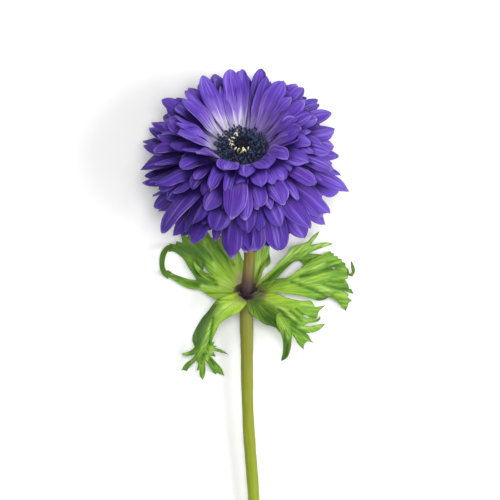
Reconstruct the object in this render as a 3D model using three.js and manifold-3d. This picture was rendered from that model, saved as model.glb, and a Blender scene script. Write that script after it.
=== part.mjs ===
// A cut double anemone (Anemone coronaria) lying on a flat surface, in millimetres, +Z up.
// The stem lies along Y with its cut end at -Y. The bloom rests on the petals of its far side and
// looks up and away from the stem. The ruff of divided leaves sits on the stem under the bloom.
// Lengths along the stem are counted from the ruff's node, where the leaves join the stem, and the
// finished group is shifted so that the middle of its footprint is the origin.
import * as THREE from "three";
import { mergeVertices } from "three/addons/utils/BufferGeometryUtils.js";
import Module from "manifold-3d";

const wasm = await Module();
wasm.setup();

// ---- driving dimensions ----
const FOOTPRINT_CENTRE = { x: 0.3, y: -35.8 }; // from the ruff's node
const GAP = 0.3; // between neighbouring solids
const PETAL_THICKNESS = 0.6;
const LEAF_THICKNESS = 0.7;
const BLOOM_CENTRE = new THREE.Vector3(-2, 57.6, 34); // middle of the stamen disc's base
const BLOOM_TILT = 40; // degrees between the bloom's axis and straight up
const RUFF_TILT = 30; // degrees that the ruff's cup turns up from the stem's direction

const rad = THREE.MathUtils.degToRad;
const { lerp, clamp } = THREE.MathUtils;
const UP = new THREE.Vector3(0, 0, 1);

// ---- the bloom's own frame: Z along its axis, Y down towards the surface ----
const bloomFrame = new THREE.Matrix4()
  .makeTranslation(BLOOM_CENTRE)
  .multiply(new THREE.Matrix4().makeRotationX(-rad(BLOOM_TILT)));

// ---- seeded draws, each between -1 and 1 ----
function draws(seed) {
  let state = seed >>> 0;
  return () => {
    state = (Math.imul(state, 1664525) + 1013904223) >>> 0;
    return state / 2147483648 - 1;
  };
}

// ---- soft tissue that would sink into the surface lies on it instead ----
function laid(point, thickness) {
  const soft = 2;
  const above = point.z - thickness / 2;
  if (above < -soft) point.z = thickness / 2;
  else if (above < soft) point.z = thickness / 2 + (above + soft) ** 2 / (4 * soft);
  return point;
}

// ---- solids ----
function solid(geometry) {
  const bare = geometry.clone();
  bare.deleteAttribute("normal");
  bare.deleteAttribute("uv");
  const merged = mergeVertices(bare, 1e-4);
  return new wasm.Manifold(
    new wasm.Mesh({
      numProp: 3,
      vertProperties: merged.attributes.position.array,
      triVerts: new Uint32Array(merged.index.array),
    }),
  );
}

const joined = (solids) => wasm.Manifold.union(solids);

// What a cut leaves loose is dropped.
function largest(shape) {
  return shape.decompose().sort((a, b) => b.volume() - a.volume())[0];
}

function mesh(name, shape, material) {
  const { vertProperties, triVerts } = shape.getMesh();
  const geometry = new THREE.BufferGeometry()
    .setAttribute("position", new THREE.BufferAttribute(vertProperties, 3))
    .setIndex(new THREE.BufferAttribute(triVerts, 1));
  geometry.computeVertexNormals();
  const made = new THREE.Mesh(geometry, material);
  made.name = name;
  return made;
}

function geometryOf(points, faces) {
  return new THREE.BufferGeometry()
    .setAttribute("position", new THREE.Float32BufferAttribute(points.flatMap((p) => p.toArray()), 3))
    .setIndex(faces.flat());
}

// A thin blade round a grid of points: rows run from its root to its tip, each from side to side.
function blade(rows, thickness) {
  const last = rows.length - 1;
  const wide = rows[0].length;
  const at = (i, j) => rows[clamp(i, 0, last)][clamp(j, 0, wide - 1)];
  const top = [];
  const bottom = [];
  for (let i = 0; i <= last; i++)
    for (let j = 0; j < wide; j++) {
      const along = at(i + 1, j).clone().sub(at(i - 1, j));
      const across = at(i, j + 1).clone().sub(at(i, j - 1));
      const half = along.cross(across).setLength(thickness / 2);
      top.push(at(i, j).clone().add(half));
      bottom.push(at(i, j).clone().sub(half));
    }
  const n = top.length;
  const up = (i, j) => i * wide + j;
  const down = (i, j) => n + i * wide + j;
  const faces = [];
  for (let i = 0; i < last; i++)
    for (let j = 0; j < wide - 1; j++)
      faces.push(
        [up(i, j), up(i + 1, j), up(i + 1, j + 1)],
        [up(i, j), up(i + 1, j + 1), up(i, j + 1)],
        [down(i, j), down(i + 1, j + 1), down(i + 1, j)],
        [down(i, j), down(i, j + 1), down(i + 1, j + 1)],
      );
  const edge = (a, b, c, d) => faces.push([a, b, c], [c, b, d]);
  for (let i = 0; i < last; i++) {
    edge(up(i, 0), down(i, 0), up(i + 1, 0), down(i + 1, 0));
    edge(up(i + 1, wide - 1), down(i + 1, wide - 1), up(i, wide - 1), down(i, wide - 1));
  }
  for (let j = 0; j < wide - 1; j++) {
    edge(up(0, j + 1), down(0, j + 1), up(0, j), down(0, j));
    edge(up(last, j), down(last, j), up(last, j + 1), down(last, j + 1));
  }
  return geometryOf([...top, ...bottom], faces);
}

// A rod of changing radius along a path of { point, radius }, closed at both ends.
function rod(path, sides) {
  const curve = new THREE.CatmullRomCurve3(path.map((p) => p.point), false, "centripetal");
  const points = [];
  let side = null;
  path.forEach(({ point, radius }, i) => {
    const t = i / (path.length - 1);
    const tangent = curve.getTangent(t);
    side = side || new THREE.Vector3(1, 0, 0);
    side = side.clone().addScaledVector(tangent, -side.dot(tangent)).normalize();
    const other = tangent.clone().cross(side);
    for (let k = 0; k < sides; k++) {
      const turn = (2 * Math.PI * k) / sides;
      points.push(
        point
          .clone()
          .addScaledVector(side, radius * Math.cos(turn))
          .addScaledVector(other, radius * Math.sin(turn)),
      );
    }
  });
  const rings = path.length;
  const start = points.push(path[0].point.clone()) - 1;
  const end = points.push(path[rings - 1].point.clone()) - 1;
  const faces = [];
  for (let k = 0; k < sides; k++) {
    const next = (k + 1) % sides;
    faces.push([start, next, k], [end, (rings - 1) * sides + k, (rings - 1) * sides + next]);
    for (let i = 0; i < rings - 1; i++) {
      const a = i * sides;
      const b = a + sides;
      faces.push([a + k, a + next, b + next], [a + k, b + next, b + k]);
    }
  }
  return geometryOf(points, faces);
}

function turned(profile, segments) {
  const outline = profile.map(([r, h]) => new THREE.Vector2(r, h));
  return new THREE.LatheGeometry(outline, segments).rotateX(Math.PI / 2);
}

// ---- stem: cut end, ruff's node, nodding top ----
const RUFF_NODE = new THREE.Vector3(-0.1, 0, 9.8);
// [x, y, z, radius]: y from the ruff's node, towards the bloom.
const STEM = [
  [4.6, -161, 2.28, 2.4],
  [4.4, -140, 3.4, 2.4],
  [4.0, -118, 4.4, 2.3],
  [3.3, -98, 5.2, 2.3],
  [2.5, -80, 6.0, 2.3],
  [1.2, -63, 6.7, 2.4],
  [0.4, -50, 7.3, 2.3],
  [0.0, -35, 7.9, 2.4],
  [-0.1, -20, 8.6, 2.6],
  [-0.3, -8, 9.3, 2.7],
  [-0.1, 0, 9.8, 2.5],
  [0.5, 8, 10.3, 2.2],
  [1.0, 17, 11.1, 2.2],
  [0.8, 27, 12.8, 2.2],
  [0.0, 36, 15.8, 2.3],
  [-1.1, 44, 20.0, 2.5],
];
const STEM_SIDES = 10;
// Radius and height of the cup where the leaves join, along its own axis.
const CUP = [
  [0, -4.6],
  [2.6, -4.2],
  [3.9, -2.2],
  [4.8, -0.2],
  [4.8, 1.2],
  [3.8, 1.6],
  [0, 1.4],
];
const CUP_SEGMENTS = 12;
const HUB_FOOT = -10.2; // the receptacle's lower face, along the bloom's axis

// grow widens every section, for the room that the leaves leave round the stem.
function stemSolid(grow) {
  const onAxis = (h) => new THREE.Vector3(0, 0, h).applyMatrix4(bloomFrame);
  const path = STEM.map(([x, y, z, radius]) => ({
    point: new THREE.Vector3(x, y, z),
    radius: radius + grow,
  }));
  path.push({ point: onAxis(HUB_FOOT - 3), radius: 2.9 + grow });
  path.push({ point: onAxis(HUB_FOOT - GAP), radius: 3.4 + grow });
  const wider = ([r, h]) => [r && r + grow, h + (h > 0 ? grow : -grow)];
  const cup = turned(CUP.map(wider), CUP_SEGMENTS)
    .rotateX(-rad(90 - RUFF_TILT))
    .translate(...RUFF_NODE);
  return solid(rod(path, STEM_SIDES)).add(solid(cup));
}

// ---- leaves: thin sheets with cut edges, and narrow ribbons, that share a leaf's foot ----
// A sheet's edge and hole are [x, y] from the ruff's node, seen from above; its heights are
// [x, y, z] that the sheet's height is blended from. A ribbon is [x, y, z, half width] from its
// root to its tip. Each leaf comes before those that lie under it, which are cut clear of it.
const LEAVES = {
  leaf_lower_left: {
    sheets: [
      {
        edge: [
          [-10, -2], [-12, -3.2], [-13.6, -4.8], [-15.6, -7.6], [-18, -10.4], [-20, -13.6],
          [-21.6, -16.8], [-22, -19.6], [-21, -22.2], [-23.2, -24], [-26.6, -24.9], [-25, -25.8],
          [-22.4, -25.6], [-20.4, -24.8], [-22.4, -27.2], [-25, -29.2], [-26.6, -32], [-25.6, -31.6],
          [-24.4, -32.2], [-22.8, -30], [-20.2, -27.4], [-19.8, -29.6], [-20.4, -31.8], [-19.2, -31.4],
          [-19, -34], [-17.9, -35.8], [-17, -33.6], [-16.8, -30.4], [-17, -27.2], [-15.2, -30],
          [-13.8, -32.4], [-12.6, -33.4], [-12.2, -32.6], [-9.2, -34], [-10.2, -31.2], [-13.2, -27.6],
          [-15, -25.6], [-12.7, -26.1], [-13.2, -24.6], [-14.4, -23.4], [-11.2, -24.2], [-7.2, -25.4],
          [-10.4, -23.2], [-13, -22.4], [-12, -21.8], [-13.6, -21.4], [-12.9, -19.8], [-14, -20.2],
          [-13.6, -18.4], [-12.2, -15.6], [-11.2, -13.2], [-9.6, -11.6], [-6.4, -9.6], [-3.2, -8.2],
          [-1.2, -6], [0, -3.2], [-0.4, 0], [-5.2, -0.4],
        ],
        heights: [
          [0, -1, 13.6], [-3, -6, 14.6], [-5, -2, 14.2], [-10, -6, 15.4], [-13, -4, 13.6],
          [-15, -12, 13.4], [-20, -14, 10], [-12, -16, 12.6], [-17, -20, 10.8], [-22, -19, 8.4],
          [-16, -24, 8.8], [-26.6, -25, 5], [-25.6, -31.8, 2.6], [-19.6, -31, 3.4], [-18, -35.6, 1.6],
          [-12, -33, 2.4], [-9.2, -34, 1.4], [-7.4, -25.4, 6.2], [-12.6, -26, 6],
        ],
      },
    ],
    ribbons: [],
  },
  leaf_lower_right: {
    sheets: [
      {
        edge: [
          [-0.4, -3.8], [0, -6], [1.6, -8.8], [4, -10.8], [6.8, -12.8], [9.6, -13.6], [11.6, -14.4],
          [13.6, -16.4], [17.2, -16.4], [18.8, -18], [20.4, -20.8], [22.8, -23.2], [22.8, -21.2],
          [24, -19.8], [25.2, -20], [26.8, -20.6], [25.6, -19.2], [24.4, -17.2], [23.6, -16.4],
          [27.2, -16], [30, -14.4], [31.4, -12.7], [28.4, -13], [25.2, -13.6], [22.8, -13.4],
          [24.4, -12.4], [26.8, -12.2], [28.4, -11.8], [29.5, -10.8], [29.2, -9.6], [28, -10.8],
          [26.4, -11], [28, -10.4], [28.6, -8], [30, -6.6], [31.6, -5.2], [29.2, -5.8], [27.2, -6],
          [25.6, -3.6], [22, -3.5], [16, -2.3], [12.8, -0.8], [9.2, -0.4], [3.6, 0], [0.4, -1.6],
        ],
        hole: [
          [22.4, -9.2], [23.4, -9.2], [25, -10.4], [24, -10.4], [22.6, -9.7],
        ],
        heights: [
          [1, -2, 13.4], [4, -5, 14.8], [3, -9, 13], [9, -12, 13.8], [12, -8, 17.4], [16, -13, 15.6],
          [20, -12, 17], [22.8, -22, 10.6], [26.8, -20.4, 9.6], [19, -17, 13.6], [27, -14.6, 12.4],
          [31.4, -12.7, 9.4], [21, -7, 16.4], [28, -9.6, 12.4], [31.6, -5.2, 9.8], [24, -4, 13.6],
          [14, -2, 14], [7, -0.6, 13],
        ],
      },
      {
        edge: [
          [12, -13.6], [13.2, -16], [14.2, -19.2], [14.4, -23.2], [14, -26], [13.6, -27.9],
          [15.2, -27.2], [16.6, -25.6], [17.6, -22], [17.8, -19.2], [18, -17.6], [17.6, -14.8],
          [15.6, -11.2], [13.2, -7.6], [11.6, -9.2],
        ],
        heights: [
          [12.6, -8.4, 18.2], [14.4, -14, 18.4], [15.8, -19, 15], [15.6, -24, 10.4],
          [13.6, -27.9, 6.4],
        ],
      },
    ],
    ribbons: [],
  },
  leaf_right: {
    sheets: [
      {
        edge: [
          [4.4, 0.8], [6, 3.2], [9.2, 4.6], [11.8, 5.2], [16.4, 6], [20, 8.4], [23, 10.8],
          [26.8, 13.6], [30.4, 15], [32, 16], [33.6, 16.4], [33.4, 15.4], [34.8, 15.6], [35, 14.4],
          [36.4, 14.4], [36.6, 13.4], [38, 13.2], [38.4, 12], [39.6, 11.6], [39.8, 10], [40.8, 9.2],
          [41, 7.6], [40.4, 5.2], [39.4, 5], [40.8, 2.8], [41.2, 1.2], [42, 1.2], [43.2, -1],
          [41.4, -0.4], [38.8, 0.6], [41.2, -1.4], [40.4, -2], [42.4, -3.6], [41, -4.6], [40.8, -5.6],
          [39.8, -7.8], [38.4, -6.6], [37.2, -4.8], [35.2, -3.2], [33.2, -2.2], [31.2, -3.2],
          [28.4, -3.6], [25.6, -2.7], [22.2, -1.7], [16, -0.7], [12, -0.2], [8.4, -1.2], [4.4, -2.4],
        ],
        hole: [
          [33.6, 9.8], [34.8, 10], [35.8, 9.4], [34.8, 8.9],
        ],
        heights: [
          [4, 0, 10], [6, 3, 10], [9, 4.6, 10], [10, 2, 10.4], [18, 4, 11], [22, 9, 9.6],
          [26, 7, 10.8], [32, 8, 9.4], [31, 14, 7], [36, 13, 5.6], [40, 8, 5], [37, 2, 6.4],
          [43, -1, 1.4], [40, -6, 2], [34, -2.4, 5.4], [28, -2.6, 7.4], [20, -1.2, 8.8],
          [10, -0.6, 9.4],
        ],
      },
      {
        edge: [
          [3.6, 3.2], [5, 4.4], [8, 7.2], [11.2, 10], [13.6, 12.8], [15.6, 14.4], [16.8, 16],
          [18, 17.8], [21.2, 19], [24.4, 20.2], [26.4, 22.4], [29.2, 24.4], [28.4, 22.6], [26.8, 20.6],
          [25.6, 18.8], [29.2, 19.4], [32.4, 19.9], [34.8, 19.3], [31.2, 18], [27.6, 16.8],
          [24.8, 15.4], [28.4, 15.2], [30.4, 15], [33.6, 16.4], [34.4, 15.2], [33.2, 13.6], [28.4, 12],
          [23, 10.4], [22, 11.8], [20.8, 12.6], [18.8, 12], [16.4, 10], [14, 7.6], [11.8, 5.2],
          [8.4, 1.6], [3.6, -0.4],
        ],
        heights: [
          [4, 0, 10], [6, 3, 10], [9, 4.6, 10], [12, 5.6, 9.2], [12, 9.4, 7], [18, 14, 4.4],
          [23, 17, 3.8], [29, 24.4, 3], [34.8, 19.4, 1.4], [26, 13, 3.4], [33, 15, 2.2],
        ],
      },
      {
        edge: [
          [39.6, 8.8], [41.2, 6.4], [42.4, 6.2], [43.4, 8.4], [42.8, 10.8], [41.7, 12.7], [41.8, 10],
          [42.1, 8], [41.4, 7.1], [40.6, 8.8],
        ],
        heights: [
          [39.6, 8.8, 5.2], [41.4, 6.6, 6.2], [43.2, 8.6, 7], [41.7, 12.7, 8.4],
        ],
      },
    ],
    ribbons: [],
  },
  leaf_upper_left: {
    sheets: [
      {
        edge: [
          [-11.8, -3.2], [-14.4, -2.2], [-16.8, -0.6], [-19, 0.8], [-21.6, 1], [-24.4, 1.6],
          [-27.6, 3.4], [-30.8, 5.4], [-32.8, 6.6], [-33.2, 8], [-31.8, 8.8], [-30, 7.4], [-27.6, 6.4],
          [-24, 5.2], [-20.2, 4.6], [-22, 7.4], [-24, 10.4], [-26, 13.6], [-28, 15.2], [-29.8, 16.2],
          [-31.8, 16], [-31.2, 17.4], [-32.4, 17.8], [-30.6, 18.6], [-31.4, 19.6], [-29, 19],
          [-28.4, 20.4], [-26, 19.6], [-26.8, 23.2], [-24, 22], [-22.4, 25.6], [-20, 22.8],
          [-16, 24.4], [-14.4, 21.6], [-9.6, 22.8], [-8, 19.6], [-4, 18.8], [-2.4, 14.4], [-0.4, 9.6],
          [-0.4, 4], [-0.4, 0], [-3.6, -2], [-8.4, -3.2],
        ],
        hole: [
          [-17.4, 11], [-16.4, 8.8], [-13.8, 6.6], [-17.6, 8.2],
        ],
        heights: [
          [0, 0, 8.8], [-6, 0.5, 7.6], [-12, 0.5, 6], [-20, 2.4, 4.2], [-27, 5, 3], [-33, 7.6, 3.4],
          [-8, 6, 5.4], [-14, 9, 3.8], [-22, 12, 2.2], [-28, 16, 1], [-32, 18.5, 1.8], [-4, 10, 3.4],
          [-6, 18, 1.2], [-16, 19, 1], [-22, 24, 0.4], [-13, 23, 0.4], [-7, 22, 0.4],
        ],
      },
      {
        edge: [
          [-21.6, 11.8], [-20, 11], [-17.6, 8.8], [-14.8, 6.6], [-12.4, 4.4], [-13.6, 2.8],
          [-16.4, 4.4], [-19.2, 6.6], [-21.2, 9],
        ],
        heights: [
          [-13, 3.6, 5.8], [-17, 7, 6.6], [-21.6, 11.8, 8],
        ],
      },
    ],
    ribbons: [
      [
        [-31.2, 6.6, 3, 1.6], [-33.4, 8, 4.6, 1.1], [-34.2, 11, 6.2, 1], [-33.8, 14.6, 6, 1.1],
        [-32.4, 17.2, 4.2, 1], [-30.4, 18.2, 2.2, 1],
      ],
    ],
  },
  leaf_back: {
    sheets: [
      {
        edge: [
          [2, -0.8], [2, 2.4], [3, 8.8], [2.8, 16], [2, 20.8], [4, 19.6], [5.2, 23.2], [7.2, 20.4],
          [9.6, 20.8], [9, 16.4], [9.3, 11.6], [6.8, 9.2], [6, 6.8], [4.6, 4], [4, 0.8],
        ],
        heights: [
          [3, 0, 6.8], [4, 5, 5], [5.6, 10, 3.4], [6, 15, 2], [6, 20, 1], [5.2, 23, 0.4],
          [9.4, 20.6, 0.4],
        ],
      },
    ],
    ribbons: [],
  },
};

function blendedHeight(heights, x, y) {
  let sum = 0;
  let weights = 0;
  for (const [hx, hy, hz] of heights) {
    const weight = 1 / (0.5 + (x - hx) ** 2 + (y - hy) ** 2) ** 1.5;
    sum += weight * hz;
    weights += weight;
  }
  return sum / weights;
}

// A sheet with the same triangles on its upper and lower face.
function sheetGeometry({ edge, hole, heights }, thickness) {
  const loops = [edge, ...(hole ? [hole] : [])].map((loop, i) => {
    const points = loop.map(([x, y]) => new THREE.Vector2(x, y));
    return THREE.ShapeUtils.isClockWise(points) === (i > 0) ? points : points.reverse();
  });
  const middle = loops
    .flat()
    .map(({ x, y }) => laid(new THREE.Vector3(x, y, blendedHeight(heights, x, y)), thickness));
  const n = middle.length;
  const offset = new THREE.Vector3(0, 0, thickness / 2);
  const points = [...middle.map((p) => p.clone().add(offset)), ...middle.map((p) => p.clone().sub(offset))];
  const faces = THREE.ShapeUtils.triangulateShape(loops[0], loops.slice(1)).flatMap(([a, b, c]) => [
    [a, b, c],
    [n + a, n + c, n + b],
  ]);
  let first = 0;
  for (const loop of loops) {
    loop.forEach((_, i) => {
      const a = first + i;
      const b = first + ((i + 1) % loop.length);
      faces.push([a, n + a, b], [b, n + a, n + b]);
    });
    first += loop.length;
  }
  return geometryOf(points, faces);
}

function ribbonRows(ribbon, thickness) {
  const points = ribbon.map(([x, y, z]) => new THREE.Vector3(x, y, z));
  const last = points.length - 1;
  return ribbon.map(([, , , half], i) => {
    const along = points[Math.min(i + 1, last)].clone().sub(points[Math.max(i - 1, 0)]);
    const side = UP.clone().cross(along).setLength(half);
    return [1, -1].map((v) => laid(points[i].clone().addScaledVector(side, v), thickness));
  });
}

function leafSolid({ sheets, ribbons }, thickness) {
  return joined([
    ...sheets.map((sheet) => solid(sheetGeometry(sheet, thickness))),
    ...ribbons.map((ribbon) => solid(blade(ribbonRows(ribbon, thickness), thickness))),
  ]);
}

// ---- petals ----
// A layer's foot is the radius and height at which its petals leave the receptacle. Near is the side
// of the bloom over the stem and far is the side on the surface: each gives the rise of a petal at
// its root, middle and tip, in degrees above the bloom's flat, and its length.
const LAYERS = [
  {
    count: 12,
    foot: [8.6, -2.2],
    near: { rise: [48, 57, -39], length: 13.9 },
    far: { rise: [6, 40, 26], length: 26.6 },
    width: 8.3,
    start: 2.5,
  },
  {
    count: 15,
    foot: [7.4, -2.7],
    near: { rise: [38, 34, -46], length: 19.8 },
    far: { rise: [0, 28, 18], length: 29.6 },
    width: 8.9,
    start: 24.2,
  },
  {
    count: 18,
    foot: [7, -3.7],
    near: { rise: [20, 19, -48], length: 26.2 },
    far: { rise: [-5, 16, 8], length: 31.4 },
    width: 9.5,
    start: 4,
  },
  {
    count: 20,
    foot: [6.6, -4.9],
    near: { rise: [0, -9, -52], length: 34.3 },
    far: { rise: [-10, 5, 0], length: 32.8 },
    width: 9.3,
    start: 22.6,
  },
  {
    count: 20,
    foot: [6.2, -6.3],
    near: { rise: [-18, -28, -64], length: 35 },
    far: { rise: [-20, -6, -8], length: 35.2 },
    width: 10.2,
    start: 7.3,
  },
  {
    count: 17,
    foot: [5.6, -7.9],
    near: { rise: [-30, -47, -67], length: 32.2 },
    far: { rise: [-28, -16, -16], length: 33.6 },
    width: 10.1,
    start: 22,
  },
];
const PETAL_SEED = 16;
const PETAL_ROWS = [0, 0.3, 0.6, 0.84, 0.95, 1];
const PETAL_COLUMNS = [-1, 0, 1];
const WIDEST = 0.62; // share of its length where a petal is widest
const WALK = 40; // steps along a petal's midline

function petals() {
  const draw = draws(PETAL_SEED);
  return LAYERS.flatMap((layer, depth) =>
    Array.from({ length: layer.count }, (_, i) => {
      const azimuth = layer.start + (360 / layer.count) * (i + 0.22 * draw());
      const far = (1 + Math.sin(rad(azimuth))) / 2;
      const rise = layer.near.rise.map((near, k) => lerp(near, layer.far.rise[k], far));
      const lift = 6 * draw();
      return {
        azimuth,
        depth,
        foot: layer.foot,
        rise: [rise[0], rise[1] + lift, rise[2] + lift + 8 * draw()],
        length: lerp(layer.near.length, layer.far.length, far) * (1 + 0.09 * draw()),
        half: (layer.width / 2) * (1 + 0.14 * draw()),
        sweep: 12 * draw(),
        roll: 11 + 10 * draw(),
        cup: 0.22 * draw() - 0.06 * depth + 0.14,
        pointed: draw(),
      };
    }),
  );
}

// Half width at a share of the length, as a share of the widest half width.
function petalOutline(s, pointed) {
  if (s < WIDEST) return lerp(0.26, 1, THREE.MathUtils.smoothstep(s, 0, WIDEST));
  const q = (s - WIDEST) / (1 - WIDEST);
  return lerp(1, 0.24 - 0.12 * pointed, q ** (3 - 0.8 * pointed));
}

function riseAt(rise, s) {
  const bend = 0.4;
  return s < bend ? lerp(rise[0], rise[1], s / bend) : lerp(rise[1], rise[2], (s - bend) / (1 - bend));
}

// The midline's points and directions, walked from the foot in the bloom's frame.
function petalSpine(petal) {
  const [radius, height] = petal.foot;
  const outward = (s) => rad(petal.azimuth + petal.sweep * s * s);
  const point = new THREE.Vector3(radius * Math.cos(outward(0)), radius * Math.sin(outward(0)), height);
  return Array.from({ length: WALK + 1 }, (_, i) => {
    const s = i / WALK;
    const turn = outward(s);
    const up = rad(riseAt(petal.rise, s));
    const along = new THREE.Vector3(Math.cos(turn), Math.sin(turn), 0)
      .multiplyScalar(Math.cos(up))
      .addScaledVector(UP, Math.sin(up));
    const here = point.clone();
    point.addScaledVector(along, petal.length / WALK);
    const side = new THREE.Vector3(Math.sin(turn), -Math.cos(turn), 0);
    side.applyAxisAngle(along, rad(petal.roll * s));
    return { here, side, face: side.clone().cross(along) };
  });
}

function petalRows(petal) {
  const spine = petalSpine(petal);
  return PETAL_ROWS.map((s) => {
    const { here, side, face } = spine[Math.round(s * WALK)];
    const half = petal.half * petalOutline(s, petal.pointed);
    return PETAL_COLUMNS.map((v) => {
      const point = here.clone().addScaledVector(side, -v * half);
      point.addScaledVector(face, petal.cup * half * v * v);
      return laid(point.applyMatrix4(bloomFrame), PETAL_THICKNESS);
    });
  });
}

// The receptacle that the petals grow from, as radius and height along the bloom's axis.
const HUB = [
  [0, HUB_FOOT],
  [3.6, HUB_FOOT],
  [6.4, -8.6],
  [8.2, -5],
  [9.3, -2.5],
  [8.6, -0.6],
  [0, -0.6],
];
const HUB_SEGMENTS = 14;

function petalSolid() {
  const hub = solid(turned(HUB, HUB_SEGMENTS).applyMatrix4(bloomFrame));
  return joined([hub, ...petals().map((petal) => solid(blade(petalRows(petal), PETAL_THICKNESS)))]);
}

// ---- stamens and pistil ----
const STAMENS = 64;
const STAMEN_SEED = 21;
const STAMEN_RING = [
  [3.7, -GAP],
  [7.6, -GAP],
  [8, 0.4],
  [6.4, 1.5],
  [4.6, 1.7],
  [3.7, 0.9],
  [3.7, -GAP],
];
const GOLDEN_TURN = Math.PI * (3 - Math.sqrt(5));

function stamenSolids() {
  const draw = draws(STAMEN_SEED);
  return Array.from({ length: STAMENS }, (_, i) => {
    const out = Math.sqrt((i + 0.5) / STAMENS); // 0 at the inner ring, 1 at the outer
    const turn = i * GOLDEN_TURN + 0.12 * draw();
    const radius = lerp(4.2, 7.4, out);
    const lean = rad(lerp(2, 54, out * out) + 5 * draw());
    const tall = lerp(4.2, 4.8, out) * (1 + 0.14 * draw());
    const outward = new THREE.Vector3(Math.cos(turn), Math.sin(turn), 0);
    const along = outward.clone().multiplyScalar(Math.sin(lean)).addScaledVector(UP, Math.cos(lean));
    const root = outward.clone().multiplyScalar(radius).setZ(0.8);
    const at = (share) => root.clone().addScaledVector(along, tall * share);
    const path = [
      { point: at(0), radius: 0.35 },
      { point: at(0.6), radius: 0.35 },
      { point: at(0.7), radius: 0.85 },
      { point: at(1), radius: 0.5 },
    ];
    return solid(rod(path, 3).applyMatrix4(bloomFrame));
  });
}

const PISTIL_RADIUS = 3.2;
const PISTIL_HEIGHT = 3.4;

// A dome raised into carpels by a formula.
function pistilSolid() {
  const ball = new THREE.SphereGeometry(1, 18, 8).rotateX(Math.PI / 2);
  const place = ball.attributes.position;
  const point = new THREE.Vector3();
  for (let i = 0; i < place.count; i++) {
    point.fromBufferAttribute(place, i);
    const turn = Math.atan2(point.y, point.x);
    const carpels = 1 + 0.06 * Math.cos(9 * turn) * Math.sin(6 * Math.acos(clamp(point.z, -1, 1)));
    point.multiply(new THREE.Vector3(PISTIL_RADIUS, PISTIL_RADIUS, PISTIL_HEIGHT)).multiplyScalar(carpels);
    point.z = Math.max(point.z, -GAP);
    place.setXYZ(i, point.x, point.y, point.z);
  }
  return solid(ball.applyMatrix4(bloomFrame));
}

// ---- materials ----
const finish = (color, roughness) => new THREE.MeshStandardMaterial({ color, roughness, metalness: 0 });
const petalMaterial = finish(0x6a4bc0, 0.6);
const leafMaterial = finish(0x6fa53a, 0.55);
const stemMaterial = finish(0x9aa345, 0.5);
const stamenMaterial = finish(0x141c33, 0.6);
const pistilMaterial = finish(0x10131f, 0.7);

// ---- the flower ----
const flower = new THREE.Group();
flower.position.set(-FOOTPRINT_CENTRE.x, -FOOTPRINT_CENTRE.y, 0);
flower.add(mesh("stem", stemSolid(0), stemMaterial));

let taken = stemSolid(GAP);
for (const [name, leaf] of Object.entries(LEAVES)) {
  flower.add(mesh(name, largest(leafSolid(leaf, LEAF_THICKNESS).subtract(taken)), leafMaterial));
  taken = taken.add(leafSolid(leaf, LEAF_THICKNESS + 2 * GAP));
}

flower.add(mesh("petals", petalSolid(), petalMaterial));
const ring = solid(turned(STAMEN_RING, 18).applyMatrix4(bloomFrame));
flower.add(mesh("stamens", joined([ring, ...stamenSolids()]), stamenMaterial));
flower.add(mesh("pistil", pistilSolid(), pistilMaterial));

export default flower;
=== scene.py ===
# The looks of a cut double anemone (Anemone coronaria) lying on a pale surface.
# Shapes are worked out in millimetres from the point of the surface below the ruff's node, where the
# leaves join the stem, with +Z up and +Y towards the bloom. Shape.piece() turns them into metres in
# the model's own frame.
import math
import bpy
import numpy as np
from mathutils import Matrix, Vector
from mathutils.bvhtree import BVHTree
from mathutils.geometry import delaunay_2d_cdt


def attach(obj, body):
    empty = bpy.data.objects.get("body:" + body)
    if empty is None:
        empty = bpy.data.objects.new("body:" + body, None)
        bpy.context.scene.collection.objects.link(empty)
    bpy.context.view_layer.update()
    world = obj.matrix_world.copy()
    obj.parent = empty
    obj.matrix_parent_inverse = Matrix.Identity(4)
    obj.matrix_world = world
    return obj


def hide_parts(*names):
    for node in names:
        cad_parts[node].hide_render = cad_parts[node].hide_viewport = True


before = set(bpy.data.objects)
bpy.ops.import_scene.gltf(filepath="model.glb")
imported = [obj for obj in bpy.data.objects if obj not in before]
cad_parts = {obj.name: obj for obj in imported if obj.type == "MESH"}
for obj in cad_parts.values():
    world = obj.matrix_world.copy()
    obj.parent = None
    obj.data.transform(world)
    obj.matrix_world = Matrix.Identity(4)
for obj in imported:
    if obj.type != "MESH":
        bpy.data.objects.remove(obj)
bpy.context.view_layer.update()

# ---- driving dimensions, in millimetres and degrees ----
MM = 0.001
FOOTPRINT_CENTRE = np.array([0.3, -35.8, 0])  # where the model's own frame has its origin
BLOOM_CENTRE = np.array([-2, 57.6, 34])  # middle of the stamen disc's base
BLOOM_TILT = 40  # degrees between the bloom's axis and straight up
RUFF_NODE = np.array([-0.1, 0, 9.8])
RUFF_TILT = 30  # degrees that the ruff's cup turns up from the stem's direction
CLEARANCE = 0.06  # lowest that a soft piece lies above the surface
SHARP_RIM = 55  # degrees between faces past which the edge they share is drawn sharp
STEM_RIBS = 9
UP = np.array([0, 0, 1])


# ---- numbers ----
def xy(*numbers):
    """Rows of x, y."""
    return np.reshape(numbers, (-1, 2)).tolist()


def xyz(*numbers):
    """Rows of x, y, z."""
    return np.reshape(numbers, (-1, 3)).tolist()


def xyzw(*numbers):
    """Rows of x, y, z and half width."""
    return np.reshape(numbers, (-1, 4)).tolist()


def lerp(a, b, t):
    return a + (b - a) * t


def smooth(x, low, high):
    t = np.clip((x - low) / (high - low), 0, 1)
    return t * t * (3 - 2 * t)


def unit(vectors):
    return vectors / np.maximum(np.linalg.norm(vectors, axis=-1, keepdims=True), 1e-9)


def draws(seed):
    """Seeded draws, each between -1 and 1, the same as the CAD source's."""
    state = seed

    def draw():
        nonlocal state
        state = (state * 1664525 + 1013904223) % 2**32
        return state / 2147483648 - 1

    return draw


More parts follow.
